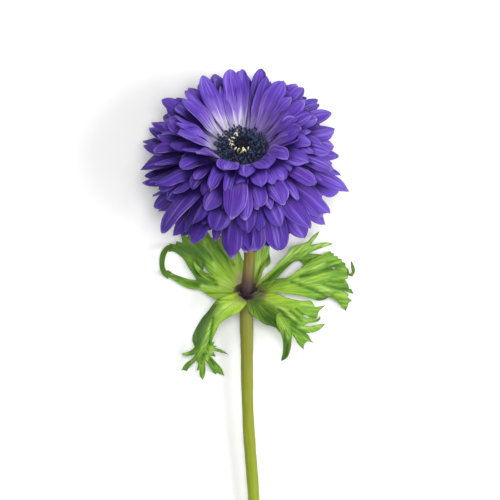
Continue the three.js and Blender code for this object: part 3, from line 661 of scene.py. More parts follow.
def triangulated(loops):
    """A flat mesh between the loops: its points, its triangles and the sides along its rim."""
    low, high = loops[0].min(0), loops[0].max(0)
    across = np.arange(low[0], high[0], LEAF_STEP)
    rows = np.arange(low[1], high[1], LEAF_STEP * ROW_SPACING)
    grid = np.array([[x + (i % 2) * LEAF_STEP / 2, y] for i, y in enumerate(rows) for x in across])
    grid = grid[inside(grid, loops)]
    grid = grid[rim_distance(grid, loops) > LEAF_STEP * RIM_MARGIN]
    fixed = []
    first = 0
    for loop in loops:
        fixed += [(first + i, first + (i + 1) % len(loop)) for i in range(len(loop))]
        first += len(loop)
    joined = np.vstack([*loops, grid]).tolist()
    points, _, faces, *_ = delaunay_2d_cdt(joined, fixed, [], 0, 1e-6)
    points, faces = np.array(points), np.array(faces)
    faces = faces[inside(points[faces].mean(1), loops)]
    (ax, ay), (bx, by), (cx, cy) = points[faces].transpose(1, 2, 0)
    clockwise = (bx - ax) * (cy - ay) < (by - ay) * (cx - ax)
    faces[clockwise] = faces[clockwise][:, ::-1]
    sides = {(a, b) for face in faces.tolist() for a, b in zip(face, face[1:] + face[:1])}
    return points, faces, np.array([(a, b) for a, b in sorted(sides) if (b, a) not in sides])


def sheet(edge, heights, veins, hole=None, furrows=(), painted_shades=(), glints=(), husk=()):
    """A sheet's points and faces, and the values that its material uses."""
    loops = [curved_loop(loop) for loop in ([edge, hole] if hole else [edge])]
    points, faces, rim = triangulated(loops)
    edge_gap = rim_distance(points, loops)
    gaps, shares = zip(*(distance_to(points, through(vein, PATH_STEPS)) for vein in veins))
    nearest = np.argmin(gaps, axis=0)
    every = np.arange(len(points))
    rib_gap, rib_share = np.array(gaps)[nearest, every], np.array(shares)[nearest, every]
    dip = LEAF_PLEAT * np.exp(-rib_gap / PLEAT_REACH) * (1 - 0.5 * rib_share)
    wave = LEAF_WAVE * np.sin(points[:, 0] * 0.9 + points[:, 1] * 0.35) * np.sin(points[:, 1] * 0.8)
    furrow = marked(points, furrows)
    z = drawn_height(heights, points) - dip + wave - FURROW_DEPTH * furrow
    middle = laid(np.column_stack([points, z]), LEAF_THICKNESS)
    half = UP * (LEAF_THICKNESS * lerp(THIN_RIM, 1, smooth(edge_gap, 0, THIN_REACH)) / 2)[:, None]
    n = len(points)
    a, b = rim.T
    faces = [faces, n + faces[:, ::-1], np.stack([a, n + a, n + b, b], -1)]
    foot = np.array(veins[0][0])
    away = points - foot
    values = {
        "furrow": furrow,
        "shade": marked(points, painted_shades),
        "glint": marked(points, glints),
        "husk": marked(points, husk),
        "reach": collar_reach(points),
        "turn": np.arctan2(away[:, 1], away[:, 0]),
        "span": np.linalg.norm(away, axis=1),
        "rib": rib_gap,
        "edge": edge_gap,
    }
    return (np.vstack([middle + half, middle - half]), faces), {k: np.tile(v, 2) for k, v in values.items()}


def ribbon(rows):
    path = through(rows, RIBBON_STEPS)
    points, half = path[:, :3], path[:, 3]
    ways = unit(np.gradient(points, axis=0))
    side = unit(np.cross(UP, ways))
    columns = np.linspace(-1, 1, RIBBON_COLUMNS)
    middle = points[:, None] + side[:, None] * (columns[:, None] * half[:, None, None])
    middle = middle + UP * (RIBBON_TROUGH * columns[:, None] ** 2 * half[:, None, None])
    thickness = LEAF_THICKNESS * (1 - 0.6 * columns**4) * np.ones((len(path), 1))
    shape = (len(path), len(columns))
    values = {
        "furrow": np.zeros(shape),
        # The whole ribbon gets painted shade.
        "shade": np.ones(shape),
        "glint": np.zeros(shape),
        "husk": np.zeros(shape),
        "reach": collar_reach(middle[..., :2]),
        "turn": np.broadcast_to(columns * 0.2, shape),
        "span": np.broadcast_to(np.arange(len(path))[:, None] * 0.5, shape),
        "rib": np.abs(columns) * half[:, None],
        "edge": (1 - np.abs(columns)) * half[:, None],
    }
    solid = blade(laid(middle, LEAF_THICKNESS), thickness)
    return solid, {key: np.tile(numbers.ravel(), 2) for key, numbers in values.items()}


def leaf_shape(sheets, ribbons, chance):
    shape = Shape()
    parts = [sheet(**made) for made in sheets] + [ribbon(rows) for rows in ribbons]
    for (points, faces), values in parts:
        under = np.arange(len(points)) >= len(points) // 2
        shape.add((points, faces), under=under, chance=chance, **values)
    return shape


# ---- petals ----
# A layer's foot is the radius and height at which its petals leave the receptacle. Near is the side
# of the bloom over the stem and far is the side on the surface: each gives the rise of a petal at
# its root, middle and tip, in degrees above the bloom's flat, and its length. The lengths, widths,
# starts and some rises, and PETAL_SEED, came from a random search that fitted the petals' outline
# to the photograph's, and were rounded.
LAYERS = [
    {"count": 12, "foot": (8.6, -2.2), "near": ((48, 57, -39), 13.9), "far": ((6, 40, 26), 26.6),
     "width": 8.3, "start": 2.5},
    {"count": 15, "foot": (7.4, -2.7), "near": ((38, 34, -46), 19.8), "far": ((0, 28, 18), 29.6),
     "width": 8.9, "start": 24.2},
    {"count": 18, "foot": (7, -3.7), "near": ((20, 19, -48), 26.2), "far": ((-5, 16, 8), 31.4),
     "width": 9.5, "start": 4},
    {"count": 20, "foot": (6.6, -4.9), "near": ((0, -9, -52), 34.3), "far": ((-10, 5, 0), 32.8),
     "width": 9.3, "start": 22.6},
    {"count": 20, "foot": (6.2, -6.3), "near": ((-18, -28, -64), 35), "far": ((-20, -6, -8), 35.2),
     "width": 10.2, "start": 7.3},
    {"count": 17, "foot": (5.6, -7.9), "near": ((-30, -47, -67), 32.2), "far": ((-28, -16, -16), 33.6),
     "width": 10.1, "start": 22},
]
# Where petals reach further or less far: azimuth, spread, share of their length, and first layer.
UNEVEN = [
    (62, 10, 0.07, 2), (106, 18, -0.06, 0), (124, 7, 0.1, 2), (154, 12, 0.03, 3), (190, 9, 0.04, 3),
    (205, 8, -0.05, 3), (224, 8, 0.06, 3), (240, 7, -0.08, 4), (265, 6, -0.04, 3), (294, 9, -0.08, 3),
    (310, 8, 0.05, 3), (329, 5, 0.1, 3), (329, 5, -0.12, 4), (336, 8, 0.09, 3), (350, 8, 0.08, 2),
]
INNER_LAYERS = 3  # layers in the inner petals' piece
PETAL_SEED = 16
FOLD_SEED = 5
PETAL_THICKNESS = 0.5
WIDEST = 0.62  # share of its length where a petal is widest
TIP = 0.17  # share of its length over which a petal's tip is rounded
BLUNT, POINTED = 0.78, 0.4  # width where the rounding starts, as a share of the widest
TIP_ROWS = 1 - TIP + TIP * np.sin(np.linspace(0, np.pi / 2, 9))
PETAL_ROWS = np.append(np.linspace(0, 1 - TIP, 19)[:-1], TIP_ROWS)
PETAL_COLUMNS = np.sin(np.linspace(-np.pi / 2, np.pi / 2, 15))
SPINE_STEPS = 160


def petals():
    """The CAD's petals, each with how much painted shade darkens its violet."""
    draw = draws(PETAL_SEED)
    made = []
    for depth, layer in enumerate(LAYERS):
        (near_rise, near_length), (far_rise, far_length) = layer["near"], layer["far"]
        for i in range(layer["count"]):
            azimuth = layer["start"] + 360 / layer["count"] * (i + 0.22 * draw())
            far = (1 + math.sin(math.radians(azimuth))) / 2
            rise = lerp(np.array(near_rise, float), np.array(far_rise, float), far)
            lift = 6 * draw()
            petal = {"azimuth": azimuth, "depth": depth, "foot": layer["foot"]}
            petal["rise"] = rise + [0, lift, lift + 8 * draw()]
            petal["length"] = lerp(near_length, far_length, far) * (1 + 0.09 * draw())
            petal["half"] = layer["width"] / 2 * (1 + 0.14 * draw())
            petal["sweep"] = 12 * draw()
            petal["roll"] = 11 + 10 * draw()
            petal["cup"] = 0.22 * draw() - 0.06 * depth + 0.14
            petal["pointed"] = draw()
            # Painted shade: a darker violet on the lower layers, more on the near side and on the left, away
            # from the key light; none on the first layer.
            deep = lerp(0.9, 0.5, far) * (1 - 0.4 * math.cos(math.radians(azimuth)))
            petal["deep"] = deep * min(1.15, 0.42 + 0.22 * depth) if depth else 0
            made.append(petal)
    return made


def varied(petal, fold):
    """A petal of its own length and width, more so on the near side."""
    near = (1 - math.sin(math.radians(petal["azimuth"]))) / 2
    petal["length"] *= 1 - 0.02 * near + lerp(0.04, 0.09, near) * fold()
    petal["half"] *= 0.88 + 0.18 * fold()
    petal["rise"] = petal["rise"] + [0, 3 * fold(), 9 * fold()]
    if petal["depth"] == 0:
        aside = near * (1 - math.exp(-(((petal["azimuth"] - 268) / 34) ** 2)))
        petal["half"] *= 1 + 0.25 * near
        petal["cup"] += 0.55 * aside - 0.3 * near
        petal["rise"] = petal["rise"] + [4 * aside, 2 * aside, 42 * aside]
        petal["length"] *= 1 + 0.12 * aside
        petal["pointed"] += 0.9 * near
    for azimuth, spread, share, first in UNEVEN:
        if petal["depth"] >= first:
            petal["length"] *= 1 + share * math.exp(-(((petal["azimuth"] % 360 - azimuth) / spread) ** 2))
    return petal


def petal_beside(petal, steps, fold):
    """A narrower petal that shows in the gap beside a petal, a little below it."""
    step = 360 / LAYERS[petal["depth"]]["count"]
    return {
        **petal,
        "azimuth": petal["azimuth"] + step * (steps + 0.16 * fold()),
        "half": petal["half"] * (0.66 + 0.16 * fold()),
        "length": petal["length"] * (0.93 + 0.1 * fold()),
        "rise": petal["rise"] - [2, 4, 3],
        "roll": petal["roll"] + 20 * fold(),
        "cup": 0.3 * fold(),
        "pointed": fold(),
    }


def petal_outline(s, pointed):
    """Half width at a share of the length, as a share of the widest half width."""
    q = np.clip((s - WIDEST) / (1 - WIDEST), 0, 1)
    end = lerp(BLUNT, POINTED, smooth(pointed, 0.2, 1))
    width = np.where(s < WIDEST, lerp(0.26, 1, smooth(s, 0, WIDEST)), lerp(1, end, q**2.6))
    return width * np.sqrt(np.clip(1 - (np.clip(s - 1 + TIP, 0, TIP) / TIP) ** 2, 0.004, 1))


def petal_spine(petal, shares):
    """Points on the midline in the bloom's frame, with the petal's side and face directions there."""
    s = np.linspace(0, 1, SPINE_STEPS + 1)
    radius, height = petal["foot"]
    turn = np.radians(petal["azimuth"] + petal["sweep"] * s * s)
    up = np.radians(np.interp(s, [0, 0.4, 1], petal["rise"]))
    out = np.stack([np.cos(turn), np.sin(turn), 0 * s], -1)
    along = out * np.cos(up)[:, None] + UP * np.sin(up)[:, None]
    steps = along[:-1] * petal["length"] / SPINE_STEPS
    here = out[0] * radius + UP * height + np.vstack([0 * UP, np.cumsum(steps, axis=0)])
    side = np.stack([np.sin(turn), -np.cos(turn), 0 * s], -1)
    roll = np.radians(petal["roll"] * s)[:, None]
    side = side * np.cos(roll) + np.cross(along, side) * np.sin(roll)
    face = np.cross(side, along)

    def at(values):
        return np.stack([np.interp(shares, s, column) for column in values.T], -1)

    return at(here), unit(at(side)), unit(at(face))


def petal_solid(petal, fold):
    """A petal's points and faces, and the values that its material uses. fold draws its own folds."""
    rows = PETAL_ROWS[:, None]
    cleft = 0.022 * (1 + fold()) * np.cos(np.pi * (1.5 + fold()) * PETAL_COLUMNS + 2 * fold())
    cusp = 0.05 * smooth(petal["pointed"], 0.3, 1) * np.exp(-((PETAL_COLUMNS / 0.2) ** 2))
    s = rows * (1 + (cusp - np.abs(cleft)) * rows**8)
    v = np.broadcast_to(PETAL_COLUMNS, s.shape)
    here, side, face = petal_spine(petal, s)
    phases = [np.pi * fold() for _ in range(5)]
    waves = smooth(s, 0.2, 0.5)
    edge = np.where(v < 0, np.sin(15 * s + phases[0]), np.sin(13 * s + phases[1]))
    half = petal["half"] * petal_outline(PETAL_ROWS, petal["pointed"])[:, None] * (1 + 0.05 * edge * waves)
    # Across, the petal is an arc, which closes towards its root.
    arc = (2 * petal["cup"] + 1.1 * fold() ** 3) * lerp(1.3, 0.9, s)
    arc = np.where(np.abs(arc) < 0.05, 0.05, arc)
    groove = -(0.25 + 0.15 * fold()) * np.exp(-((v / 0.22) ** 2)) * np.clip(1 - s, 0, 1) ** 0.8
    ridges = (0.11 * np.cos(7 * v + phases[2]) + 0.05 * np.cos(19 * v + phases[4])) * smooth(s, 0, 0.3)
    ruffle = (0.5 + 0.4 * fold()) * np.abs(v) ** 2.5 * np.sin(9 * s + phases[3] + v) * smooth(s, 0.25, 0.6)
    curl = (0.3 + 1.9 * fold()) * smooth(s, 0.74, 1.05) ** 2
    out = half * np.sin(arc * v) / arc
    lift = half * (1 - np.cos(arc * v)) / arc + groove + ridges * (1 - 0.5 * s) + ruffle + curl
    middle = here - side * out[..., None] + face * lift[..., None]
    middle = laid(in_bloom(middle), PETAL_THICKNESS)
    thickness = PETAL_THICKNESS * (1 - 0.7 * np.abs(v) ** 6) * lerp(1.2, 0.7, s)
    values = {"along": s, "across": v}
    return blade(middle, thickness), {key: np.tile(grid.ravel(), 2) for key, grid in values.items()}


# The receptacle that the petals grow from, as radius and height along the bloom's axis.
HUB = [
    [0, HUB_FOOT], [2.6, HUB_FOOT], [3.6, -10], [5.2, -9.4], [6.4, -8.6], [7.4, -6.9], [8.2, -5],
    [8.9, -3.5], [9.2, -2.5], [9, -1.5], [8.6, -0.8], [7, -0.5], [0, -0.5],
]
HUB_GREEN = -3  # height below which it is green
HUB_SIDES = 60

SKY = 24  # directions that are looked in from a petal, over a whole sphere
SKY_REACH = 11  # how far they are looked in
SKY_GAP = 0.7  # how far off the petal's face a look starts
SKY_ROWS = [*range(0, len(PETAL_ROWS), 3), len(PETAL_ROWS) - 1]
SKY_COLUMNS = [*range(0, len(PETAL_COLUMNS), 2)]


def spread_over(places, picked):
    """Weights that spread values at the picked places evenly over all of them."""
    picked = np.asarray(places)[picked]
    return np.stack([np.interp(places, picked, one) for one in np.eye(len(picked))], -1)


def evened(grid):
    """Each number as the median of itself and its four neighbours, so that none stands out alone."""
    wide = np.pad(grid, 1, mode="edge")
    around = [wide[1:-1, 1:-1], wide[:-2, 1:-1], wide[2:, 1:-1], wide[1:-1, :-2], wide[1:-1, 2:]]
    return np.median(around, axis=0)


def openness(solids):
    """How open the air is round each point of each petal, from 0 to 1, which sets the petals' painted shade
    where they crowd together.
    """
    joined = Shape()
    for solid in solids:
        joined.add(solid)
    tree = BVHTree.FromPolygons(
        np.vstack(joined.points).tolist(),
        [face for group in joined.faces for face in group.tolist()],
    )
    height = 1 - (2 * np.arange(SKY) + 1) / SKY
    turn = GOLDEN_TURN * np.arange(SKY)
    ring = np.sqrt(1 - height**2)
    sky = np.stack([ring * np.cos(turn), ring * np.sin(turn), height], -1)
    down_rows, down_columns = spread_over(PETAL_ROWS, SKY_ROWS), spread_over(PETAL_COLUMNS, SKY_COLUMNS)
    shares = []
    for points, _ in solids:
        grids = points.reshape(2, len(PETAL_ROWS), len(PETAL_COLUMNS), 3)
        out = unit(np.cross(np.gradient(grids[0], axis=0), np.gradient(grids[0], axis=1)))
        for grid, normals in ((grids[0], out), (grids[1], -out)):
            starts, ways = (a[SKY_ROWS][:, SKY_COLUMNS].reshape(-1, 3) for a in (grid, normals))
            facing = ways @ sky.T
            facing[facing < 0.1] = 0
            seen = np.zeros_like(facing)
            for i, j in np.argwhere(facing):
                start = starts[i] + SKY_GAP * ways[i]
                seen[i, j] = tree.ray_cast(start.tolist(), sky[j].tolist(), SKY_REACH)[0] is None
            share = (facing * seen).sum(1) / facing.sum(1)
            share = evened(share.reshape(len(SKY_ROWS), len(SKY_COLUMNS)))
            shares.append((down_rows @ share @ down_columns.T).ravel())
    return [np.concatenate(pair) for pair in zip(shares[::2], shares[1::2])]


def petal_shapes():
    """The inner petals and the outer ones, with the receptacle in the outer ones' piece."""
    fold = draws(FOLD_SEED)
    inner, outer = Shape(), Shape()
    every = [varied(petal, fold) for petal in petals()]
    fan = [petal for petal in every if petal["depth"] == 0 and petal["azimuth"] < 200]
    below = [petal for petal in every if petal["depth"]]
    every += [petal_beside(petal, 0.5, fold) for petal in fan + below]
    every += [petal_beside(petal, -0.28, fold) for petal in fan]
    built = [(*petal_solid(petal, fold), 0.5 + 0.5 * fold()) for petal in every]
    airs = openness([solid for solid, _, _ in built])
    for petal, (solid, values, chance), air in zip(every, built, airs):
        shape = inner if petal["depth"] < INNER_LAYERS else outer
        under = np.arange(len(air)) >= len(air) // 2
        lit = math.cos(math.radians(petal["azimuth"]))
        shape.add(solid, under=under, lit=lit, chance=chance, deep=petal["deep"], air=air, **values)
    points, faces = lathed(HUB, HUB_SIDES)
    values = {"under": points[:, 2] < HUB_GREEN, "deep": 0, "lit": 0, "chance": 0.5, "air": 0.4}
    outer.add((in_bloom(points), faces), along=0, across=0, **values)
    return inner, outer


# ---- stamens, pale curls among them, and pistil ----
DISC_SAG = np.array([0, -1.0, -1.2])  # the disc's middle, in the bloom's frame
STAMENS = 430
STAMEN_SEED = 21
GOLDEN_TURN = math.pi * (3 - math.sqrt(5))
STAMEN_RING = 3.6, 7.7  # radii from the innermost root to the outermost
STAMEN_ROOT = 0.7, -0.4  # heights of those roots
STALK_LEAN = -8, 50  # outward, in degrees
STALK_HEIGHT = 2.6, 3.5
STALK_RADII = 0.16, 0.09  # at its root and its tip
STALK_SIDES = 5
ANTHER_LENGTH = 1.6
ANTHER_SHARES = np.array([0, 0.1, 0.35, 0.65, 0.9, 1])  # of its length, with the radius at each
ANTHER_RADII = np.array([0.08, 0.26, 0.36, 0.36, 0.24, 0.06])
ANTHER_SIDES = 7
# The disc under the stamens, as radius and height along the bloom's axis.
DISC = [[0, -0.4], [8.4, -0.4], [8.9, 0.1], [8, 0.6], [5, 0.9], [0, 1]]
DISC_SIDES = 48
# A pale curled stamen's path, turned and scaled for each.
HOOK = np.reshape(
    [0, 0, 0,  0.3, 0.2, 1.2,  0.1, 0.5, 2.2,  -0.5, 0.7, 2.8,  -1.1, 0.6, 2.7,  -1.3, 0.2, 2.2],
    (-1, 3),
)
CURL_FOOT = 2.2  # height of its root, among the stamens
# How far along a curl, and its radius there as a share of its size.
CURL_SHARES, CURL_RADII = [0, 0.3, 0.75, 1], [0.14, 0.24, 0.3, 0.1]
CURL_SIDES = 9
# Azimuth, radius and size of the pale curled stamens, in the bloom's frame.
CURLS = [
    (178, 4.4, 0.7), (160, 5.2, 0.8), (143, 4.6, 0.9), (128, 4.9, 1), (113, 4.6, 0.7), (120, 5.8, 0.6),
    (197, 4.9, 0.6), (214, 4.3, 0.8), (231, 4.8, 0.9), (247, 4.1, 0.7), (262, 4.6, 1), (279, 4.2, 0.8),
    (292, 4.7, 1), (308, 4.4, 0.7),
]


def in_disc(points):
    return in_bloom(points + DISC_SAG)


def leaning(turn, lean):
    """Outward from the bloom's axis at that azimuth, and up, in radians."""
    return np.array([math.cos(turn) * math.sin(lean), math.sin(turn) * math.sin(lean), math.cos(lean)])


def stamen_shape():
    shape = Shape()
    draw = draws(STAMEN_SEED)
    for i in range(STAMENS):
        out = math.sqrt((i + 0.5) / STAMENS)  # 0 at the inner ring, 1 at the outer
        turn = i * GOLDEN_TURN + 0.2 * draw()
        root = leaning(turn, math.pi / 2) * lerp(*STAMEN_RING, out) + UP * lerp(*STAMEN_ROOT, out)
        lean = math.radians(lerp(*STALK_LEAN, out * out) + 10 * draw())
        tall = lerp(*STALK_HEIGHT, out) * (1 + 0.25 * draw())
        chance = 0.5 + 0.5 * draw()
        bend = unit(leaning(turn + 0.5 * draw(), lean) - [0, 0.5 * out, 0])  # they sag a little
        tip = root + bend * tall
        stalk = through([root, root + (bend + 0.25 * UP) * tall * 0.5, tip], 2)
        solid = tube(stalk, np.linspace(*STALK_RADII, len(stalk)), STALK_SIDES)
        shape.add((in_disc(solid[0]), solid[1]), anther=0, chance=chance)
        way = unit(leaning(turn + 1.2 * draw(), lean + 0.7 * draw()) - [0, 0.4 * out, 0])
        long = ANTHER_LENGTH * (1 + 0.3 * draw())
        radii = ANTHER_RADII * (1 + 0.2 * draw())
        bow = 0.3 * np.sin(np.pi * ANTHER_SHARES)
        path = tip + way * ((ANTHER_SHARES - 0.2) * long)[:, None] + bend * bow[:, None]
        solid = tube(path, radii, ANTHER_SIDES)
        shape.add((in_disc(solid[0]), solid[1]), anther=1, chance=chance)
    ring, faces = lathed(DISC, DISC_SIDES)
    shape.add((in_disc(ring), faces), anther=0, chance=0.5)
    return shape


def curl_shape():
    shape = Shape()
    draw = draws(STAMEN_SEED + 1)
    for azimuth, radius, size in CURLS:
        turn = math.radians(azimuth)
        facing = turn + 0.8 * draw()
        aside = leaning(facing + math.pi / 2, math.pi / 2) * 2 * draw()
        axes = np.array([leaning(facing, math.pi / 2), aside, UP])
        wander = 0.12 * np.array([[draw(), draw(), 0] for _ in HOOK])
        bent = HOOK * [size, size, 0.7 + 0.3 * size] + wander
        path = through(leaning(turn, math.pi / 2) * radius + UP * CURL_FOOT + bent @ axes, 5)
        shares = np.linspace(0, 1, len(path))
        radii = size * np.interp(shares, CURL_SHARES, CURL_RADII)
        radii = radii * (1 + 0.25 * np.sin(14 * shares + 3 * draw()))
        solid = tube(path, radii, CURL_SIDES)
        share = np.append(np.repeat(shares, CURL_SIDES), [0, 1])
        shape.add((in_disc(solid[0]), solid[1]), along=share)
        draw()  # unused, but the next curls depend on it
    return shape


PISTIL_RADIUS = 3.2
PISTIL_HEIGHT = 3.3
CARPELS = 130
# A carpel's rings: how far along it, its radius there, and how near its tip it is, from 0 to 1.
CARPEL_STEPS = np.array([-0.1, 0.12, 0.3, 0.5, 0.75])
CARPEL_RADII = [0.3, 0.33, 0.27, 0.13, 0.05]
CARPEL_TIPS = [0, 0, 0.2, 0.7, 1]
CARPEL_SIDES = 7
DOME_SIDES = 36


def pistil_shape():
    """A dome packed with carpels, each a small bud that ends in a point."""
    shape = Shape()
    draw = draws(STAMEN_SEED + 2)
    angles = np.linspace(0, np.pi / 2, 12)
    profile = [[PISTIL_RADIUS * math.cos(a), PISTIL_HEIGHT * math.sin(a)] for a in angles]
    dome = lathed([[0, -0.3], [PISTIL_RADIUS, -0.3], *profile], DOME_SIDES)
    shape.add((in_disc(dome[0]), dome[1]), tip=0)
    for i in range(CARPELS):
        up = (i + 0.5) / CARPELS
        turn = i * GOLDEN_TURN
        ring = math.sqrt(1 - up * up)
        way = np.array([ring * math.cos(turn), ring * math.sin(turn), up])
        root = way * [PISTIL_RADIUS, PISTIL_RADIUS, PISTIL_HEIGHT] * 0.96
        grown = unit(way + 0.12 * np.array([draw(), draw(), draw()]))
        solid = tube(root + grown * CARPEL_STEPS[:, None], CARPEL_RADII, CARPEL_SIDES)
        tip = np.append(np.repeat(CARPEL_TIPS, CARPEL_SIDES), [0, 1])
        shape.add((in_disc(solid[0]), solid[1]), tip=tip)
        draw()  # unused, but the next carpels depend on it
    return shape


# ---- materials ----
LEAF_SPAN = 40  # millimetres from the collar over which a leaf's green changes
STEM_SPAN = 210  # millimetres over which the stem's green changes
STEM_START = -162  # and where that starts, in y from the ruff's node


class Finish:
    """A material on one Principled shader. Most methods add a node and give its output."""

    def __init__(self, name, **settings):
        self.material = bpy.data.materials.new(name)
        self.material.use_nodes = True
        self.tree = self.material.node_tree
        self.shader = self.tree.nodes["Principled BSDF"]
        for socket, value in settings.items():
            self.shader.inputs[socket.replace("_", " ")].default_value = value

    def node(self, kind, *inputs, **settings):
        made = self.tree.nodes.new(kind)
        for key, value in settings.items():
            setattr(made, key, value)
        for socket, value in zip(made.inputs, inputs):
            self.feed(socket, value)
        return made

    def feed(self, socket, value):
        if isinstance(value, bpy.types.NodeSocket):
            self.tree.links.new(value, socket)
        elif value is not None:
            socket.default_value = value

    def value(self, name):
        return self.node("ShaderNodeAttribute", attribute_name=name).outputs["Fac"]

    def maths(self, operation, *inputs):
        return self.node("ShaderNodeMath", *inputs, operation=operation).outputs[0]

    def product(self, a, b):
        return self.maths("MULTIPLY", a, b)

    def between(self, value, low, high, to_low=0.0, to_high=1.0):
        """value from low to high, as a smooth change from to_low to to_high."""
        made = self.node("ShaderNodeMapRange", value, low, high, to_low, to_high)
        made.interpolation_type = "SMOOTHSTEP"
        return made.outputs[0]

    def vector(self, x, y, z):
        return self.node("ShaderNodeCombineXYZ", x, y, z).outputs[0]

    def times(self, value, factor, plus=0.0):
        return self.maths("MULTIPLY_ADD", value, factor, plus)

    def noise(self, vector, scale=1.0, detail=2.0):
        made = self.node("ShaderNodeTexNoise")
        self.feed(made.inputs["Vector"], vector)
        made.inputs["Scale"].default_value = scale
        made.inputs["Detail"].default_value = detail
        return made.outputs["Fac"]

    def place(self):
        return self.node("ShaderNodeTexCoord").outputs["Object"]

    def ramp(self, value, stops):
        made = self.node("ShaderNodeValToRGB", value)
        elements = made.color_ramp.elements
        while len(elements) < len(stops):
            elements.new(1)
        for element, (position, color) in zip(elements, stops):
            element.position = position
            element.color = (*color, 1)
        return made.outputs["Color"]

    def mix(self, share, a, b):
        made = self.node("ShaderNodeMix", data_type="RGBA")
        self.feed(made.inputs["Factor"], share)
        for socket, value in ((made.inputs[6], a), (made.inputs[7], b)):
            self.feed(socket, (*value, 1) if isinstance(value, tuple) else value)
        return made.outputs[2]

    def finish(self, color, roughness, height, depth):
        self.feed(self.shader.inputs["Base Color"], color)
        self.feed(self.shader.inputs["Roughness"], roughness)
        bump = self.node("ShaderNodeBump")
        bump.inputs["Strength"].default_value = 1.0
        bump.inputs["Distance"].default_value = depth * MM
        self.feed(bump.inputs["Height"], height)
        self.feed(self.shader.inputs["Normal"], bump.outputs["Normal"])
        return self.material


def petal_faces(made, streaks):
    """The colours of a petal's upper and lower faces, from its root to its tip."""
    along, deep = made.value("along"), made.value("deep")
    shifted = made.maths("ADD", along, made.times(streaks, 0.5, -0.25))
    upper = made.ramp(
        shifted,
        [
            (0.0, (0.92, 0.90, 0.94)), (0.25, (0.72, 0.66, 0.86)), (0.42, (0.28, 0.18, 0.60)),
            (0.66, (0.11, 0.046, 0.42)), (0.86, (0.155, 0.078, 0.54)), (1.0, (0.25, 0.155, 0.70)),
        ],
    )
    lower = made.ramp(
        shifted,
        [
            (0.0, (0.30, 0.34, 0.20)), (0.14, (0.34, 0.29, 0.44)), (0.4, (0.20, 0.13, 0.46)),
            (1.0, (0.13, 0.068, 0.42)),
        ],
    )
    # Painted shade: on the right the petals' roots turn a darker magenta, where their inner faces turn from
    # the light.
    painted_root_shade = made.product(made.between(made.value("lit"), -0.2, 0.8), made.between(along, 0.95, 0.25))
    upper = made.mix(made.times(painted_root_shade, 0.85), upper, (0.09, 0.028, 0.26))
    # Painted shade: the lower layers' petals turn a darker violet.
    upper = made.mix(made.between(deep, 0.45, 1.1, 0.0, 0.85), upper, (0.036, 0.013, 0.185))
    return made.mix(made.value("under"), upper, lower)


def petal_edges(made, color, blotches):
    """Darker sides, painted shade in dark violet where the petals crowd together, and pale rims, partly
    painted highlight, where they don't.
    """
    along, across, air = made.value("along"), made.value("across"), made.value("air")
    side = made.between(made.maths("ABSOLUTE", across), 0.8, 1.0)
    shade = made.product(side, made.between(blotches, 0.58, 0.42, 0.0, 0.6))
    color = made.mix(shade, color, (0.07, 0.028, 0.30))
    # Painted shade where little open air is round a petal, as between crowded petals.
    crowd_shade = made.product(made.between(air, 0.82, 0.27, 0.0, 0.97), made.between(along, 0.12, 0.45))
    color = made.mix(crowd_shade, color, (0.014, 0.005, 0.085))
    # Pale rims, partly the petal's thin paler margin and partly painted highlight where light catches its
    # edges.
    rim = made.maths("MAXIMUM", made.between(across, 0.84, 1.0), made.between(along, 0.94, 1.0))
    pale = made.product(rim, made.between(blotches, 0.45, 0.62, 0.0, 0.55))
    return made.mix(made.product(pale, made.between(air, 0.3, 0.8)), color, (0.42, 0.32, 0.80))


def petal_finish():
    made = Finish(
        "petal",
        Subsurface_Weight=0.15,
        Subsurface_Radius=(0.7, 0.5, 1.0),
        Subsurface_Scale=0.0014,
        Specular_IOR_Level=0.1,
        Sheen_Weight=0.01,
        Sheen_Tint=(0.6, 0.45, 1.0, 1.0),
    )
    along, across, chance = made.value("along"), made.value("across"), made.value("chance")
    seed = made.times(chance, 40.0)
    wide = made.vector(made.times(across, 3.4, seed), made.times(along, 1.5), seed)
    fine = made.vector(made.times(across, 13.0, seed), made.times(along, 1.3), seed)
    streaks = made.noise(wide, 1.0, 3.0)
    veins = made.noise(fine, 1.0, 3.0)
    blotches = made.noise(made.place(), 90.0, 2.0)
    color = petal_faces(made, streaks)
    color = made.mix(made.between(blotches, 0.42, 0.72, 0.0, 0.4), color, (0.14, 0.045, 0.36))
    color = made.mix(made.between(veins, 0.46, 0.64, 0.0, 0.62), color, (0.045, 0.016, 0.24))
    # Pale streaks, partly the petal's own paler veins and partly painted highlight along its ridges, fewer on
    # petals with painted shade.
    lightest = made.between(made.value("deep"), 1.1, 0.5, 0.6, 1.0)
    pale = made.product(made.between(streaks, 0.5, 0.7, 0.0, 0.46), lightest)
    color = made.mix(pale, color, (0.34, 0.24, 0.72))
    color = made.mix(made.between(chance, 0.6, 1.0, 0.0, 0.25), color, (0.10, 0.045, 0.40))
    color = petal_edges(made, color, blotches)
    height = made.maths("ADD", made.times(veins, 0.7), made.times(streaks, 0.8))
    return made.finish(color, made.between(veins, 0.3, 0.8, 0.46, 0.64), height, 0.5)


